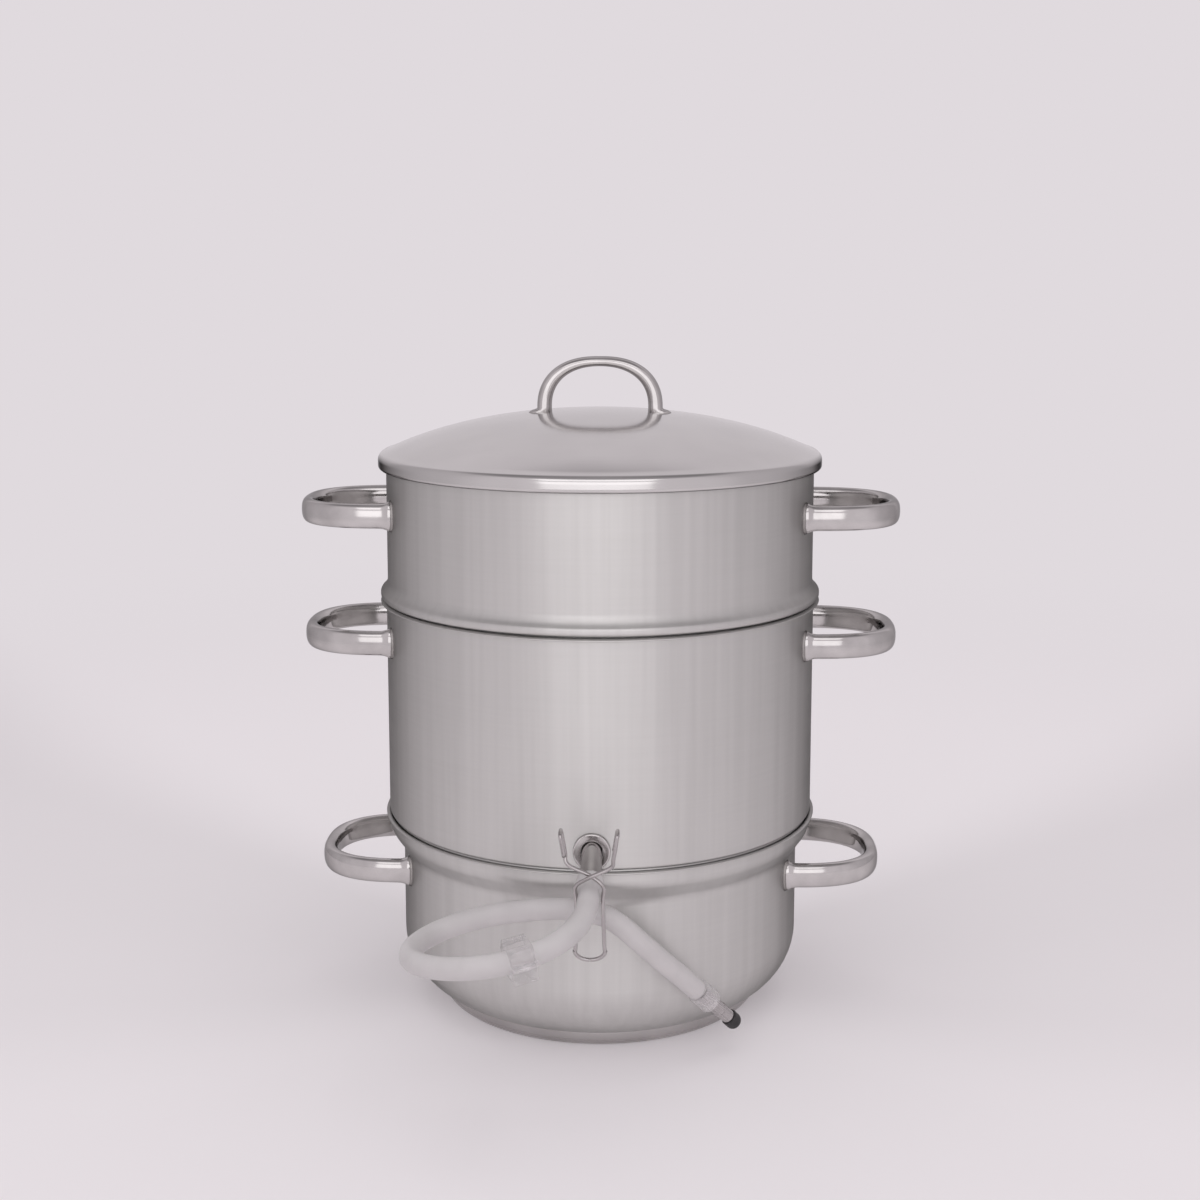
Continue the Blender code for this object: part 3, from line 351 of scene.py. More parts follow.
clipTilt = math.radians(clip["tilt"])
clipMiddle = np.array(hose["start"]) + spoutDirection * clip["distance"]
clipPlace = axisFrame(clipMiddle, (0, -math.cos(clipTilt), -math.sin(clipTilt)))
spring = np.insert(arcPoints((0, 0), 1, -90, clip["springEndDeg"], clip["springPoints"]), 2, 0, axis=1)
spring *= (clip["springHalfWidth"], clip["springHalfHeight"], 0)
spring[:, 1] += clip["springHalfHeight"] - clip["springDrop"]
spring[0, 0] = -gap / 2
grip = [(-clip["jawOffset"], clip["jawHalf"] * share, 0) for share in (-1, 0, 1)]
thumb = np.array(clip["thumbShares"]) * (clip["thumbReach"], clip["thumbHeight"], clip["thumbHalfDepth"])
thumb[:, 1] += clip["thumbBase"]
lever = np.vstack([spring, grip, (0, clip["crossingRise"], clip["lap"]), thumb])
leverObjects = []
for name, side in (("pinchClipFixedLever", -1), ("pinchClipMovingLever", 1)):
    wirePath = placed(catmullRom(lever * (side, 1, side), samples=6), clipPlace)
    rows = tubeRows(wirePath, clip["wire"], clip["firstSide"], clip["columns"])
    leverObjects.append(gridObject(name, capped(rows)))
print("pinch clip bent")

# Clear shut-off clamp on the loop's front arm: cradle below, hinged jaw above, hinge pin at the inner side
clamp = {
    "sample": 9, "length": 0.0125, "halfWidth": 0.01, "depth": 0.01, "corner": 0.003, "bevel": 0.00025,
    "notch": 0.0065, "parting": 0.0005, "ear": 0.003, "tab": 0.005, "tabThickness": 0.003,
    "pinRadius": 0.0011, "pinRound": 0.0003, "pinColumns": 20, "cornerPoints": 6, "notchPoints": 18,
}


def extruded(name, outline):
    # an outline carried along the clamp: four rings, the end ones drawn in by the bevel, a face on each end
    along = unit(outline - np.roll(outline, 1, 0)) + unit(np.roll(outline, -1, 0) - outline)
    inward = unit(np.stack([-along[:, 1], along[:, 0]], -1))
    area = (outline[:, 0] * np.roll(outline[:, 1], -1) - outline[:, 1] * np.roll(outline[:, 0], -1)).sum()
    drawnIn = outline + inward * clamp["bevel"] * math.copysign(1, area)
    half, flatHalf = clamp["length"] / 2, clamp["length"] / 2 - clamp["bevel"]
    rings = [(drawnIn, -half), (outline, -flatHalf), (outline, flatHalf), (drawnIn, half)]
    points = np.stack([np.insert(ring, 2, z, axis=1) for ring, z in rings])
    return gridObject(name, placed(points, clampPlace), endFaces=True)


# the clamp's middle is a path point eased over its neighbours
before, at, after = halfPoints[clamp["sample"] - 1:clamp["sample"] + 2]
clampPlace = axisFrame((before + 4 * at + after) / 6, after - before)
half, corner, deep = clamp["halfWidth"], clamp["corner"], clamp["depth"]
notch, parting = clamp["notch"], clamp["parting"]
cornerPoints, notchPoints = clamp["cornerPoints"], clamp["notchPoints"]
pinGap = clamp["pinRadius"] + gap
pinAt = half + pinGap
earEnd, tabEnd = pinAt + clamp["ear"] / 2, half + clamp["tab"]
partingTurn = math.degrees(math.asin(parting / notch))
# outlines in the clamp's plane, each with half of the notch that holds the hose
cradleOutline = np.vstack([
    [(-earEnd, -pinGap), (-earEnd, -clamp["ear"] - pinGap)],
    arcPoints((corner - half, corner - deep), corner, 180, 270, cornerPoints),
    arcPoints((half - corner, corner - deep), corner, 270, 360, cornerPoints),
    [(half, -parting)],
    arcPoints((0, 0), notch, -partingTurn, partingTurn - 180, notchPoints),
    [(-half + gap, -parting), (-half + gap, -pinGap)]])
jawOutline = np.vstack([
    [(-half + gap, parting)],
    arcPoints((0, 0), notch, 180 - partingTurn, partingTurn, notchPoints),
    [(tabEnd, parting), (tabEnd, clamp["tabThickness"]), (half, clamp["tabThickness"])],
    arcPoints((half - corner, deep - corner), corner, 0, 90, cornerPoints),
    [(corner - half, deep), (-pinAt, clamp["ear"] + pinGap), (-pinAt, pinGap), (-half + gap, pinGap)]])
cradleObject = extruded("clampCradle", cradleOutline)
jawObject = extruded("clampJaw", jawOutline)
pinPlace = (placed(np.array([-pinAt, 0, 0]), clampPlace), clampPlace[1])
pinRadius, pinHalf = clamp["pinRadius"], clamp["length"] / 2
pinObject = smallTurned("clampPin", [
    (0, -pinHalf, 0), (pinRadius, -pinHalf, clamp["pinRound"]),
    (pinRadius, pinHalf, clamp["pinRound"]), (0, pinHalf, 0)], pinPlace, clamp["pinColumns"], arcSteps=4)
print("clamp made")

# Water pot: rounded lower corner, flare under the rim, small drooping lip, and the sandwich base's steel cap
pot = {
    "radius": 0.1213, "bandRadius": 0.1296, "height": 0.1165,
    "lip": 0.0016, "lipDroop": 0.0007, "lipRound": 0.0007,
    "flareTop": 0.1073, "flareBottom": 0.0957, "flareRound": 0.01,
    "corner": 0.036, "floor": 0.0061, "baseRadius": 0.098, "baseCorner": 0.0045, "baseTop": 0.0083,
    "grooves": [(0.07, 0.0658), (0.03, 0.0268)], "grooveSlope": 0.0006, "grooveDepth": 0.0004,
    "handleDepth": 0.0507, "handleHeight": 0.085,
}

lipUnder = pot["height"] - sheet
potPath = roundedPath([
    (pot["bandRadius"] + pot["lip"], lipUnder - pot["lipDroop"], 0),
    (pot["bandRadius"], lipUnder, pot["lipRound"]), (pot["bandRadius"], pot["flareTop"], pot["flareRound"]),
    (pot["radius"], pot["flareBottom"], pot["flareRound"]), (pot["radius"], pot["floor"], pot["corner"]),
    (0, pot["floor"], 0)], arcSteps=14)
potObject = sheetObject("potShell", potPath)
baseCorners = [(pot["baseRadius"], pot["baseTop"], 0), (pot["baseRadius"], 0, pot["baseCorner"])]
slope, deep = pot["grooveSlope"], pot["grooveDepth"]
for wide, narrow in pot["grooves"]:
    baseCorners += [
        (wide, 0, deep), (wide - slope, deep, deep), (narrow + slope, deep, deep), (narrow, 0, deep)]
basePath = roundedPath([*baseCorners, (0, 0, 0)], support=0.0002, arcSteps=6)
baseObject = sheetObject("baseCap", basePath)
print("pot and base turned")

# Juice kettle: rim, drum, seat on the pot's rim, nested floor that climbs to the steam hole's collar
kettle = {
    "radius": 0.1298, "seat": 0.1168, "rimTop": 0.2484,
    "lip": 0.0028, "lipDroop": 0.0013, "lipRound": 0.0011,
    "seatRound": 0.002, "nestRadius": 0.1268, "nestRound": 0.0009,
    "corner": 0.0055, "floorEdge": 0.1053, "floorCentre": 0.1123,
    "holeRadius": 0.045, "holeRound": 0.0012, "collarHeight": 0.003,
    "handleDepth": 0.0502, "handleHeight": 0.225,
}

lipUnder = kettle["rimTop"] - sheet
kettlePath = roundedPath([
    (kettle["radius"] + kettle["lip"], lipUnder - kettle["lipDroop"], 0),
    (kettle["radius"], lipUnder, kettle["lipRound"]), (kettle["radius"], kettle["seat"], kettle["seatRound"]),
    (kettle["nestRadius"], kettle["seat"], kettle["nestRound"]),
    (kettle["nestRadius"], kettle["floorEdge"], kettle["corner"]),
    (kettle["holeRadius"], kettle["floorCentre"], kettle["holeRound"]),
    (kettle["holeRadius"], kettle["floorCentre"] + kettle["collarHeight"], 0)], arcSteps=10)
kettleObject = sheetObject("kettleShell", kettlePath)

# Spout: short sloping tube with a bead at its tip, through a round collar
spout = {
    "height": 0.128, "length": 0.0245, "radius": 0.0058, "bore": 0.0045, "insert": 0.003,
    "bead": 0.0008, "beadFace": 0.0002, "beadWidest": 0.0015, "beadLength": 0.004, "beadRound": 0.0008,
    "edgeRound": 0.0004, "neckRound": 0.001, "boreSeam": (0.008, 0.007), "collarSeam": (0.001, 0.0005),
    "collarRadius": 0.0105, "collarThickness": 0.0018, "collarGrip": 0.0002,
    "collarRound": 0.0009, "collarHoleRound": 0.0003,
    "cutLength": 0.02, "cutClearance": 0.0001, "sharpDeg": 40, "columns": 40, "collarColumns": 48,
}

spoutRoot = np.array([0, -kettle["radius"], spout["height"]])
spoutPlace = axisFrame(spoutRoot, spoutDirection)
tipZ, rootZ, wide = spout["length"], -spout["insert"], spout["radius"] + spout["bead"]
bore, edgeRound = spout["bore"], spout["edgeRound"]
spoutObject = smallTurned("spoutTube", [
    (bore, spout["boreSeam"][0], 0), (bore, tipZ, edgeRound), (wide - spout["beadFace"], tipZ, edgeRound),
    (wide, tipZ - spout["beadWidest"], spout["beadRound"]),
    (spout["radius"], tipZ - spout["beadLength"], spout["neckRound"]), (spout["radius"], rootZ, edgeRound),
    (bore, rootZ, edgeRound), (bore, spout["boreSeam"][1], 0)], spoutPlace, spout["columns"], wrapRows=True)
collarPlace = axisFrame(spoutRoot, (0, -1, 0))
thick, hole = spout["collarThickness"], spout["radius"] / math.cos(spoutSlope) - spout["collarGrip"]
collarObject = smallTurned("spoutCollar", [
    (hole + spout["collarSeam"][0], 0, 0), (spout["collarRadius"], 0, 0),
    (spout["collarRadius"], thick, spout["collarRound"]), (hole, thick, spout["collarHoleRound"]),
    (hole, 0, 0), (hole + spout["collarSeam"][1], 0, 0)
], collarPlace, spout["collarColumns"], arcSteps=6, wrapRows=True)


def evaluatedMesh(source):
    # a new mesh of the object with its modifiers or curve settings applied
    return bpy.data.meshes.new_from_object(source.evaluated_get(bpy.context.evaluated_depsgraph_get()))


# a round bar's space comes out of the kettle's wall for the spout; edges above the sharp angle stay sharp
cutRadius, cutHalf = spout["radius"] + spout["cutClearance"], spout["cutLength"] / 2
cutProfile = np.array([(0, -cutHalf), (cutRadius, -cutHalf), (cutRadius, cutHalf), (0, cutHalf)])
cutter = turnedObject("spoutCutter", cutProfile, spoutPlace, spout["columns"])
boolean = kettleObject.modifiers.new("cut", "BOOLEAN")
boolean.operation = "DIFFERENCE"
boolean.solver = "EXACT"
boolean.object = cutter
cutMesh = evaluatedMesh(kettleObject)
kettleObject.modifiers.clear()
cutMesh.set_sharp_from_angle(angle=math.radians(spout["sharpDeg"]))
kettleObject.data = cutMesh
bpy.data.objects.remove(cutter, do_unlink=True)
print("kettle and spout made")

# Steam cone over the kettle's hole, on a flange that follows the sloping floor
cone = {
    "footRadius": 0.055, "footHeight": 0.1133, "baseRadius": 0.049, "baseHeight": 0.1139, "baseRound": 0.002,
    "topRadius": 0.026, "topRound": 0.0008, "height": 0.04, "lip": 0.0016,
}

coneTop = cone["baseHeight"] + cone["height"]
conePath = roundedPath([
    (cone["topRadius"] - cone["lip"], coneTop + sheet, 0), (cone["topRadius"], coneTop, cone["topRound"]),
    (cone["baseRadius"], cone["baseHeight"] + sheet, cone["baseRound"]),
    (cone["footRadius"], cone["footHeight"] + sheet, 0)], arcSteps=8)
coneObject = sheetObject("steamCone", conePath[::-1], -sheet)

# Fruit basket: drum with a bead that rests on the kettle's rim, sleeve inside the kettle, and a ledge
# under the strainer plate
basket = {
    "radius": 0.129, "seat": 0.2487, "rimTop": 0.3336, "lip": 0.0022, "lipRound": 0.0009,
    "beadOut": 0.1332, "beadTop": 0.0082, "beadTopRound": 0.008,
    "beadShoulder": 0.0042, "beadShoulderRound": 0.0022, "beadUnderRound": 0.0021,
    "sleeveRadius": 0.1262, "sleeveTopRound": 0.0009, "sleeveCorner": 0.004,
    "floor": 0.166, "ledge": 0.009, "handleDepth": 0.052, "handleHeight": 0.301,
}

lipUnder, seat, sleeve = basket["rimTop"] - sheet, basket["seat"], basket["sleeveRadius"]
basketPath = roundedPath([
    (basket["radius"] + basket["lip"], lipUnder, 0), (basket["radius"], lipUnder, basket["lipRound"]),
    (basket["radius"], seat + basket["beadTop"], basket["beadTopRound"]),
    (basket["beadOut"], seat + basket["beadShoulder"], basket["beadShoulderRound"]),
    (basket["beadOut"], seat, basket["beadUnderRound"]),
    (sleeve, seat, basket["sleeveTopRound"]), (sleeve, basket["floor"], basket["sleeveCorner"]),
    (sleeve - basket["sleeveCorner"] - basket["ledge"], basket["floor"], 0)], support=0.0002, arcSteps=9)
basketObject = sheetObject("basketShell", basketPath)

# Strainer plate: real plates have several hundred holes of about 4 mm, in rings
strainer = {
    "radius": 0.12, "sheet": 0.001, "height": 0.1672,
    "holeRadius": 0.0021, "pitch": 0.0092, "firstRing": 6, "plainEdge": 0.007,
    "edgePoints": 96, "holePoints": 12,
}

plateCurve = bpy.data.curves.new("strainerPlate", "CURVE")
plateCurve.dimensions = "2D"
plateCurve.fill_mode = "BOTH"
plateCurve.extrude = strainer["sheet"] / 2
ringCount = int((strainer["radius"] - strainer["plainEdge"]) / strainer["pitch"])
centres = np.vstack([(0, 0)] + [
    circlePoints(ring * strainer["pitch"], strainer["firstRing"] * ring) for ring in range(1, ringCount + 1)])
holeOutline = circlePoints(strainer["holeRadius"], strainer["holePoints"])
outlines = [circlePoints(strainer["radius"], strainer["edgePoints"])]
outlines += [centre + holeOutline for centre in centres]
for outline in outlines:
    spline = plateCurve.splines.new("POLY")
    spline.points.add(len(outline) - 1)
    spline.points.foreach_set("co", np.hstack([outline, np.tile((0, 1), (len(outline), 1))]).ravel())
    spline.use_cyclic_u = True
curveObject = inScene("strainerCurve", plateCurve)
plateMesh = evaluatedMesh(curveObject)
plateMesh.transform(Matrix.Translation((0, 0, strainer["height"] + strainer["sheet"] / 2)))
bpy.data.objects.remove(curveObject, do_unlink=True)
strainerObject = inScene("strainerPlate", plateMesh)
print("basket and strainer made,", len(outlines) - 1, "holes")

# Lid: domed sheet, rounded shoulder, short band with a hem
lid = {
    "radius": 0.1328, "shoulderRadius": 0.129, "shoulderHeight": 0.3358, "shoulderStartDeg": 62,
    "apex": 0.3598, "domeRise": 0.024, "roundShare": 0.77,
    "bandBottom": 0.3288, "bandSupport": 0.0004, "hem": 0.0012, "hemEndDeg": -88,
    "domeRows": 40, "shoulderPoints": 12, "hemPoints": 8,
}


def domeHeight(r):
    # top of the dome at radius r: a parabola, with a fourth power that steepens the edge
    x = r / lid["shoulderRadius"]
    return lid["apex"] - lid["domeRise"] * (lid["roundShare"] * x ** 2 + (1 - lid["roundShare"]) * x ** 4)


domeR = np.linspace(0, lid["shoulderRadius"], lid["domeRows"])
drop = lid["radius"] - lid["shoulderRadius"]
shoulderEnd = lid["shoulderHeight"] - drop
hemMiddle = (lid["radius"] - lid["hem"], lid["bandBottom"])
lidPath = np.vstack([
    np.column_stack([domeR, domeHeight(domeR)]),
    arcPoints((lid["shoulderRadius"], shoulderEnd), drop, lid["shoulderStartDeg"], 0, lid["shoulderPoints"]),
    [(lid["radius"], shoulderEnd - lid["bandSupport"]),
     (lid["radius"], lid["bandBottom"] + lid["bandSupport"])],
    arcPoints(hemMiddle, lid["hem"], 0, lid["hemEndDeg"], lid["hemPoints"])])
lidObject = sheetObject("lidShell", lidPath[::-1])

# Lid handle: an arch of polished bar, thinner at its top, each leg flaring into a flat foot
lidHandle = {
    "halfSpan": 0.0335, "top": 0.3896, "width": 0.0125,
    "topThickness": 0.006, "sideThickness": 0.0088, "footThickness": 0.014,
    "footShift": 0.0025, "footSheet": 0.0012, "footRise": 0.0033, "footSink": 0.001,
    "flarePower": 2.5, "thinningPower": 1.5, "archPower": 2.3, "sectionPower": 2.5,
    "footPoints": 6, "archSamples": 400, "archPoints": 72,
}

legX, legZ = lidHandle["halfSpan"], float(domeHeight(lidHandle["halfSpan"]))
footZ, footPoints = legZ + lidHandle["footRise"], lidHandle["footPoints"]
top, side = lidHandle["topThickness"], lidHandle["sideThickness"]
archX, archY = superellipse(np.linspace(0, math.pi, lidHandle["archSamples"]), lidHandle["archPower"])
arch = np.column_stack([legX * archX, footZ + (lidHandle["top"] - footZ) * archY])
arch = evenly(arch, lidHandle["archPoints"])[0]
archSizes = top + (side - top) * np.abs(arch[:, 0] / legX) ** lidHandle["thinningPower"]
# each foot widens downward, and its line leans out, by the distance left to the dome to the flare's power
footShares = np.arange(footPoints) / footPoints
flare = (1 - footShares) ** lidHandle["flarePower"]
footHeights = lidHandle["footSheet"] + (lidHandle["footRise"] - lidHandle["footSheet"]) * footShares
footLine = np.column_stack([legX + lidHandle["footShift"] * flare, legZ + footHeights])
footSizes = side + (lidHandle["footThickness"] - side) * flare
bottom = (legX + lidHandle["footShift"], legZ - lidHandle["footSink"])
line = np.vstack([bottom, footLine, arch, footLine[::-1] * (-1, 1), (-bottom[0], bottom[1])])
thickness = np.concatenate([footSizes[:1], footSizes, archSizes, footSizes[::-1], footSizes[:1]])
ahead = np.gradient(line, axis=0)
ahead[:footPoints + 1], ahead[-footPoints - 1:] = (0, 1), (0, -1)
flat, halfWidth = ovalBar(line, ahead, thickness, lidHandle["sectionPower"])
y = np.broadcast_to(lidHandle["width"] * halfWidth, flat.shape[:2])
onDome = domeHeight(np.hypot(flat[:, :, 0], y))
rows = np.stack([flat[:, :, 0], y, np.maximum(flat[:, :, 1], onDome)], -1)
for end, lift in ((0, 0), (1, lidHandle["footSheet"]), (-2, lidHandle["footSheet"]), (-1, 0)):
    rows[end, :, 2] = onDome[end] + lift
lidHandleObject = gridObject("lidHandle", capped(rows))
print("lid and its handle made")

# Side handles: loops of polished bar, oval in section, each end flaring into a foot on the wall
handle = {
    "halfSpread": 0.044, "height": 0.0145, "thickness": 0.0085, "power": 2.5, "arm": 0.005,
    "footHeight": 0.019, "footThickness": 0.0115, "footReach": 0.0075, "flarePower": 2.2,
    "loopSamples": 600, "points": 110,
}


def sideHandle(name, drum, side):
    # an oval ring carried along a superellipse from wall to wall; the ring grows into a foot near each end
    armX = math.sqrt(drum["radius"] ** 2 - handle["halfSpread"] ** 2)
    loopX = armX + handle["arm"]
    reach = drum["radius"] + drum["handleDepth"] - handle["thickness"] / 2 - loopX
    x, y = superellipse(np.linspace(-math.pi / 2, math.pi / 2, handle["loopSamples"]), handle["power"])
    loop = np.column_stack([loopX + reach * x, handle["halfSpread"] * y])
    loop = np.vstack([(armX, -handle["halfSpread"]), loop, (armX, handle["halfSpread"])])
    loop, places = evenly(loop, handle["points"])
    fromEnd = np.minimum(places, places[-1] - places)
    near = np.clip(1 - fromEnd / handle["footReach"], 0, 1) ** handle["flarePower"]
    tall = handle["height"] + (handle["footHeight"] - handle["height"]) * near
    thick = handle["thickness"] + (handle["footThickness"] - handle["thickness"]) * near
    flat, halfHeight = ovalBar(loop, np.gradient(loop, axis=0), thick, handle["power"])
    wall = np.sqrt(np.maximum(drum["radius"] ** 2 - flat[:, :, 1] ** 2, 0))
    flat[:, :, 0] = np.maximum(flat[:, :, 0], wall)
    flat[0, :, 0], flat[-1, :, 0] = wall[0], wall[-1]
    rows = np.dstack([flat * (side, 1), drum["handleHeight"] + tall[:, None] * halfHeight])
    return gridObject(name, capped(rows))


handleObjects = {}
for drumName, drum in (("pot", pot), ("kettle", kettle), ("basket", basket)):
    for sideName, side in (("left", -1), ("right", 1)):
        handleObjects[f"{drumName}_handle_{sideName}"] = sideHandle(
            f"{drumName}Handle{sideName.title()}", drum, side)
print("side handles made")


def addNode(tree, kind, inputs=None, **settings):
    # one shader node with its settings; each input is a plain value or the socket that feeds it
    new = tree.nodes.new("ShaderNode" + kind)
    for name, value in settings.items():
        setattr(new, name, value)
    for name, value in (inputs or {}).items():
        if isinstance(value, bpy.types.NodeSocket):
            tree.links.new(value, new.inputs[name])
        else:
            new.inputs[name].default_value = value
    return new


def newMaterial(name, **values):
    # a Principled material; each value goes straight onto the shader's socket
    material = bpy.data.materials.new(name)
    material.use_nodes = True
    tree = material.node_tree
    shader = tree.nodes["Principled BSDF"]
    for socket, value in values.items():
        shader.inputs[socket.replace("_", " ")].default_value = value
    return material, tree, shader


def pattern(tree, scale, detail=2.0, place=None):
    # noise that changes scale times per metre along each axis of the Object coordinates, or of those given:
    # its height, and its usual span of 0.3 to 0.7 spread over 0 to 1 as a share
    if place is None:
        place = addNode(tree, "TexCoord").outputs["Object"]
    mapping = addNode(tree, "Mapping", {"Vector": place, "Scale": scale}).outputs["Vector"]
    noise = addNode(tree, "TexNoise", {"Vector": mapping, "Scale": 1.0, "Detail": detail}).outputs[0]
    share = addNode(tree, "MapRange", {"Value": noise, "From Min": 0.3, "From Max": 0.7})
    return noise, share.outputs["Result"]


def surfaced(tree, shader, look, tone, wear, height, depth=0.0002):
    # the look's first colour to its second by the tone's share, its roughness likewise by the wear's share, and
    # a bump of the height, its depth in metres
    (dark, light), (low, high) = map(toLinear, look["colours"]), look["roughness"]
    colour = addNode(tree, "Mix", {0: tone, 6: dark, 7: light}, data_type="RGBA").outputs[2]
    roughness = addNode(tree, "MapRange", {"Value": wear, "To Min": low, "To Max": high}).outputs["Result"]
    bump = addNode(tree, "Bump", {"Height": height, "Strength": look["bump"], "Distance": depth})
    for socket, value in (("Base Color", colour), ("Roughness", roughness), ("Normal", bump.outputs["Normal"])):
        tree.links.new(value, shader.inputs[socket])


def fromAxis(tree):
    # coordinates for marks of a lathe or wheel: the distance from the object's Z axis, then the height
    place = addNode(tree, "TexCoord").outputs["Object"]
    axes = addNode(tree, "SeparateXYZ", {0: place}).outputs
    flat = addNode(tree, "CombineXYZ", {"X": axes["X"], "Y": axes["Y"]}).outputs[0]
    distance = addNode(tree, "VectorMath", {0: flat}, operation="LENGTH").outputs["Value"]
    return addNode(tree, "CombineXYZ", {"X": distance, "Y": axes["Z"]}).outputs[0], axes["Z"]


# 18/10 stainless sheet, satin ground round the drum: soft upright bands of light, and faint streaks. The real
# grit's lines are about 0.2 mm apart, too fine to show, so they are drawn 1.6 mm apart.
satin = {
    "colours": ("#CFCECC", "#DAD9D7"), "roughness": (0.4, 0.5), "bump": 0.012,
    "anisotropy": 0.55, "grainTurn": 0.25, "edge": 0.06,
    "hairlineSpacing": 0.0016, "hairlineLength": 0.06, "streakWidth": 0.006, "streakLength": 0.25,
    "cloudScale": (14.0, 14.0, 9.0), "lineShare": 0.6, "cloudShare": 0.4,
}

# The low edge tint is painted shade: it darkens the drums' sides where they are seen edge on
satinSteel, tree, shader = newMaterial(
    "satinGroundStainlessSteel", Metallic=1.0, Anisotropic=satin["anisotropy"],
    Anisotropic_Rotation=satin["grainTurn"], Specular_Tint=(satin["edge"],) * 3 + (1.0,))
perLine, perLength = 1 / satin["hairlineSpacing"], 1 / satin["hairlineLength"]
perStreak = 1 / satin["streakWidth"]
hairlines, hairShare = pattern(tree, (perLength, perLength, perLine))
streakShare = pattern(tree, (perStreak, perStreak, 1 / satin["streakLength"]), detail=3.0)[1]
cloudShare = pattern(tree, satin["cloudScale"])[1]
clouded = []
for share in (streakShare, hairShare):
    cloudPart = addNode(tree, "Math", {0: cloudShare, 1: satin["cloudShare"]}, operation="MULTIPLY")
    clouded.append(addNode(tree, "Math", {
        0: share, 1: satin["lineShare"], 2: cloudPart.outputs[0]}, operation="MULTIPLY_ADD").outputs[0])
surfaced(tree, shader, satin, *clouded, hairlines)
tangent = addNode(tree, "Tangent", direction_type="UV_MAP", uv_map="surface")
tree.links.new(tangent.outputs["Tangent"], shader.inputs["Tangent"])

# Drop-forged and bent bar, mirror polished by hand: sharp bright and dark stripes, a little smeared
polished = {
    "colours": ("#C1BEBD", "#D6D3D2"), "roughness": (0.09, 0.15), "bump": 0.03, "edge": 0.45,
    "smearSize": 0.018, "scratchSpacing": 0.003, "scratchLength": 0.015,
}

polishedSteel, tree, shader = newMaterial(
    "handPolishedStainlessSteel", Metallic=1.0, Specular_Tint=(polished["edge"],) * 3 + (1.0,))
smearShare = pattern(tree, (1 / polished["smearSize"],) * 3, detail=3.0)[1]
perScratch = 1 / polished["scratchSpacing"]
scratches = pattern(tree, (perScratch, 1 / polished["scratchLength"], perScratch))[0]
surfaced(tree, shader, polished, smearShare, smearShare, scratches)

# The pinch clip's spring wire and the nozzle's thin tube, drawn and nickel plated: darker than the pot, with
# fine lines along them
springWire = {
    "colours": ("#AFABAB", "#C6C2C2"), "roughness": (0.2, 0.3), "bump": 0.04,
    "lineSpacing": 0.0008, "lineLength": 0.025,
}

drawnWire, tree, shader = newMaterial("nickelPlatedDrawnSteel", Metallic=1.0)
surfacePlace = addNode(tree, "UVMap", uv_map="surface").outputs["UV"]
lines, lineShare = pattern(
    tree, (1 / springWire["lineSpacing"], 1 / springWire["lineLength"], 1.0), place=surfacePlace)
surfaced(tree, shader, springWire, lineShare, lineShare, lines)

# The lid's pressed sheet, polished on a spinning wheel: a soft mirror with faint rings round its middle. The
# wheel's marks are finer than a pixel, so they are drawn 2 mm apart. The band's low edge tint is painted
# shade: seen edge on, the band is darkened and the dome is not.
dome = {
    "colours": ("#D2D0CF", "#D9D7D6"), "roughness": (0.12, 0.17), "bump": 0.03,
    "edge": 0.9, "bandEdgeShade": 0.05, "ringSpacing": 0.002, "cloudScale": (22.0, 22.0, 22.0),
}

lidSteel, tree, shader = newMaterial("wheelPolishedStainlessSteel", Metallic=1.0)
ringPlace, heightPlace = fromAxis(tree)
# painted shade: down the shoulder the edge tint falls from the dome's value to the band's low one
edge = addNode(tree, "MapRange", {
    "Value": heightPlace, "From Min": shoulderEnd, "From Max": lid["shoulderHeight"],
    "To Min": dome["bandEdgeShade"], "To Max": dome["edge"]})
tree.links.new(edge.outputs["Result"], shader.inputs["Specular Tint"])
rings, ringShare = pattern(tree, (1 / dome["ringSpacing"], 0.0, 1.0), detail=3.0, place=ringPlace)
surfaced(tree, shader, dome, pattern(tree, dome["cloudScale"])[1], ringShare, rings)

# The base's cap is faced on a lathe: fine rings round the middle, drawn 1.2 mm apart instead of about 0.1 mm
turnedBase = {
    "colours": ("#ACA9A8", "#BCB9B8"), "roughness": (0.24, 0.42), "bump": 0.12,
    "grooveSpacing": 0.0012, "grooveHeight": 0.005, "cloudScale": (30.0, 30.0, 30.0),
}

baseSteel, tree, shader = newMaterial("latheFacedStainlessSteel", Metallic=1.0)
grooves, grooveShare = pattern(
    tree, (1 / turnedBase["grooveSpacing"], 1 / turnedBase["grooveHeight"], 1.0), place=fromAxis(tree)[0])
surfaced(tree, shader, turnedBase, pattern(tree, turnedBase["cloudScale"])[1], grooveShare, grooves)

# Extruded translucent silicone: milky white, soft at its edges, with faint lines along it from the die
silicone = {
    "colours": ("#DCD9D9", "#E6E3E3"), "roughness": (0.34, 0.46), "bump": 0.06,
    "transmission": 0.25, "lineSpacing": 0.0022, "lineScale": 9.0, "bloomScale": (60.0, 60.0, 60.0),
}

clearSilicone, tree, shader = newMaterial(
    "extrudedClearSilicone", IOR=1.41, Transmission_Weight=silicone["transmission"])
surfacePlace = addNode(tree, "UVMap", uv_map="surface").outputs["UV"]
dieLines = pattern(tree, (1 / silicone["lineSpacing"], silicone["lineScale"], 1.0), place=surfacePlace)[0]
bloomShare = pattern(tree, silicone["bloomScale"], detail=3.0)[1]
surfaced(tree, shader, silicone, bloomShare, bloomShare, dieLines)

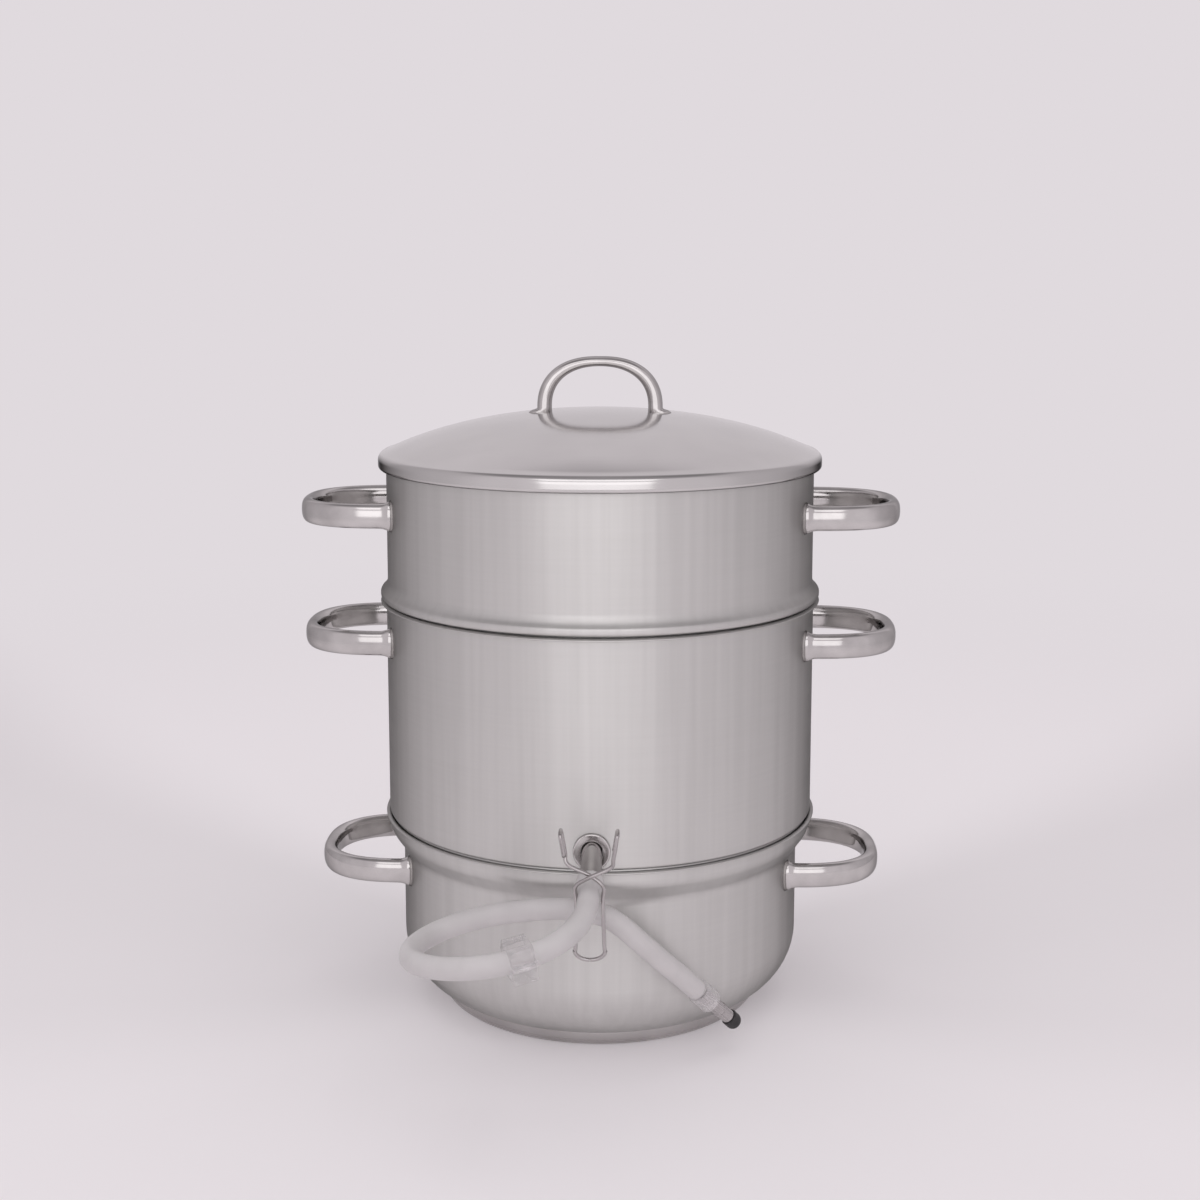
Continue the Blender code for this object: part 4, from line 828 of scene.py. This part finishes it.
# Materials whose one even grain gives colour, roughness and bump:
# - the sandwich base's rolled aluminium disc is whitish grey and dull
# - the nozzle sleeve's moulded clear silicone is glassier than the hose: the metal tube shows through
# - the clamp's injection-moulded clear polycarbonate is nearly invisible, with bright edges and flow waves
# - the tip's moulded dark rubber is near black and matt, with the mould's fine grain drawn 0.9 mm coarse
grained = {
    "rolledAluminium": {
        "colours": ("#CBCBCD", "#DEDEE0"), "roughness": (0.36, 0.52), "bump": 0.1, "depth": 0.0003,
        "grain": 0.003, "detail": 3.0, "values": {"Metallic": 1.0}},
    "mouldedClearSilicone": {
        "colours": ("#ECE9EA", "#F6F3F4"), "roughness": (0.12, 0.22), "bump": 0.04, "depth": 0.0002,
        "grain": 0.01, "detail": 3.0, "values": {"IOR": 1.41, "Transmission_Weight": 0.3, "Alpha": 0.35}},
    "mouldedClearPolycarbonate": {
        "colours": ("#F0EDEE", "#FAF8F9"), "roughness": (0.04, 0.1), "bump": 0.02, "depth": 0.0003,
        "grain": 0.006, "detail": 2.0, "values": {"IOR": 1.58, "Transmission_Weight": 0.9, "Alpha": 0.45}},
    "mouldedDarkRubber": {
        "colours": ("#1B191B", "#343133"), "roughness": (0.38, 0.58), "bump": 0.12, "depth": 0.0003,
        "grain": 0.0009, "detail": 3.0, "values": {"IOR": 1.52}},
}

grainedMaterials = {}
for name, look in grained.items():
    grainedMaterials[name], tree, shader = newMaterial(name, **look["values"])
    grain, grainShare = pattern(tree, (1 / look["grain"],) * 3, look["detail"])
    surfaced(tree, shader, look, grainShare, grainShare, grain, look["depth"])
coreAluminium, mouldedSilicone, mouldedPolycarbonate, darkRubber = grainedMaterials.values()
print("materials made")


def dress(piece, material, body, nodeName):
    # gives a piece its material, says which body it rides on, and hides the node that it stands for
    piece.data.materials.clear()
    piece.data.materials.append(material)
    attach(piece, body)
    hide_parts(nodeName)


dress(potObject, satinSteel, "pot", "pot_shell")
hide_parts("pot_rim", "pot_wall")
dress(baseObject, baseSteel, "pot", "base_cap")
dress(kettleObject, satinSteel, "kettle", "kettle_shell")
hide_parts("kettle_floor")
dress(coneObject, satinSteel, "kettle", "steam_cone")
dress(spoutObject, polishedSteel, "kettle", "spout_tube")
dress(collarObject, polishedSteel, "kettle", "spout_collar")
dress(basketObject, satinSteel, "basket", "basket_shell")
dress(strainerObject, lidSteel, "basket", "strainer_plate")
dress(lidObject, lidSteel, "lid", "lid_shell")
dress(lidHandleObject, polishedSteel, "lid", "lid_handle")
for nodeName, piece in handleObjects.items():
    dress(piece, polishedSteel, nodeName.split("_")[0], nodeName)
dress(hoseObject, clearSilicone, "kettle", "juice_hose")
dress(sleeveObject, mouldedSilicone, "kettle", "nozzle_sleeve")
dress(nozzleTubeObject, drawnWire, "kettle", "nozzle_tube")
dress(tipObject, darkRubber, "kettle", "nozzle_tip")
dress(leverObjects[0], drawnWire, "kettle", "pinch_clip_fixed_lever")
dress(leverObjects[1], drawnWire, "clip_lever", "pinch_clip_moving_lever")
dress(cradleObject, mouldedPolycarbonate, "kettle", "clamp_cradle")
dress(jawObject, mouldedPolycarbonate, "clamp_lever", "clamp_jaw")
dress(pinObject, polishedSteel, "kettle", "clamp_pin")
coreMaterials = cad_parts["base_core"].data.materials
coreMaterials.clear()
coreMaterials.append(coreAluminium)
print("pieces dressed")

# Studio: a pale floor that runs into a pale surround, a large soft lamp in front, one above it, one overhead
studio = {
    "pale": "#E0DADE", "floorPaint": "#F6F2F4", "floorRoughness": 0.6, "floorShine": 0.2,
    "floorRings": (0.0, 0.4, 1.6, 9.0), "floorDrop": 0.0004, "floorThickness": 0.02,
    "nearGlow": 0.35, "fadeStart": 0.55, "fadeEnd": 1.6,
    "aroundShares": [
        (0.00, 1.00), (0.20, 0.97), (0.45, 0.76), (0.72, 0.70), (0.80, 0.70), (0.91, 1.00), (1.00, 1.00)],
    "overhead": 0.5, "overheadStart": 0.7, "overheadEnd": 0.9,
    "lamps": [
        ("frontLamp", (0.0, -2.10, 0.56), (0.0, 0.0, 0.26), (2.2, 1.1), 5.2, True),
        ("upperFrontLamp", (0.0, -1.70, 1.90), (0.0, 0.0, 0.10), (2.2, 1.0), 4.5, True),
        ("overheadLamp", (0.0, 0.10, 2.30), (0.0, 0.0, 0.0), (2.4, 2.4), 20.0, False),
    ],
}


def aroundShare(tree, place):
    # light by the side that a place lies on: full in front and straight behind, weaker at the sides.
    # The ramp's position is y / length(x, y), spread from -1 in front to 1 behind over 0 to 1.
    axes = addNode(tree, "SeparateXYZ", {0: place}).outputs
    flat = addNode(tree, "CombineXYZ", {"X": axes["X"], "Y": axes["Y"]}).outputs[0]
    side = addNode(tree, "VectorMath", {0: flat}, operation="NORMALIZE").outputs[0]
    behind = addNode(tree, "SeparateXYZ", {0: side}).outputs["Y"]
    share = addNode(tree, "MapRange", {"Value": behind, "From Min": -1.0, "From Max": 1.0})
    ramp = addNode(tree, "ValToRGB", {"Fac": share.outputs["Result"]})
    ramp.color_ramp.interpolation = "EASE"
    stops = ramp.color_ramp.elements
    for position, level in studio["aroundShares"]:
        stop = stops[0] if position == 0 else stops[-1] if position == 1 else stops.new(position)
        stop.color = (level, level, level, 1)
    return ramp.outputs["Color"]


# The metal doesn't mirror the overhead lamp, so the ceiling stays dark in it
for name, place, aim, size, power, inMetal in studio["lamps"]:
    lamp = bpy.data.lights.new(name, "AREA")
    lamp.shape = "RECTANGLE"
    lamp.size, lamp.size_y, lamp.energy = *size, power
    lampObject = inScene(name, lamp)
    lampPlace, lampTurn = axisFrame(place, np.array(place) - np.array(aim))
    lampObject.visible_glossy = inMetal
    lampObject.matrix_world = Matrix.Translation(lampPlace) @ Matrix(lampTurn.tolist()).to_4x4()

floorEdge, floorBottom = studio["floorRings"][-1], -studio["floorThickness"]
floorProfile = np.array([
    *[(r, -studio["floorDrop"]) for r in studio["floorRings"]], (floorEdge, floorBottom), (0, floorBottom)])
floorObject = turnedObject("floor", floorProfile, steps=96)
floorMaterial, tree, shader = newMaterial(
    "floor", Base_Color=toLinear(studio["floorPaint"]), Roughness=studio["floorRoughness"],
    Specular_IOR_Level=studio["floorShine"])
objectPlace = addNode(tree, "TexCoord").outputs["Object"]
distance = addNode(tree, "VectorMath", {0: objectPlace}, operation="LENGTH").outputs["Value"]
fade = addNode(tree, "MapRange", {
    "Value": distance, "From Min": studio["fadeStart"], "From Max": studio["fadeEnd"],
    "To Min": studio["nearGlow"]}, interpolation_type="SMOOTHSTEP")
glow = addNode(tree, "Emission", {
    "Color": toLinear(studio["pale"]), "Strength": aroundShare(tree, objectPlace)})
joined = addNode(tree, "MixShader", {0: fade.outputs["Result"], 1: shader.outputs[0], 2: glow.outputs[0]})
tree.links.new(joined.outputs[0], tree.nodes["Material Output"].inputs["Surface"])
floorObject.data.materials.append(floorMaterial)

scene.world = bpy.data.worlds.new("studio")
scene.world.use_nodes = True
tree = scene.world.node_tree
direction = addNode(tree, "TexCoord").outputs["Generated"]
upness = addNode(tree, "SeparateXYZ", {0: direction}).outputs["Z"]
overhead = addNode(tree, "MapRange", {
    "Value": upness, "From Min": studio["overheadStart"], "From Max": studio["overheadEnd"], "To Min": 1.0,
    "To Max": studio["overhead"]}, interpolation_type="SMOOTHSTEP")
strength = addNode(tree, "Math", {
    0: overhead.outputs["Result"], 1: aroundShare(tree, direction)}, operation="MULTIPLY")
sky = tree.nodes["Background"]
sky.inputs["Color"].default_value = toLinear(studio["pale"])
tree.links.new(strength.outputs[0], sky.inputs["Strength"])
scene.view_settings.view_transform = "Standard"
print("studio lit")
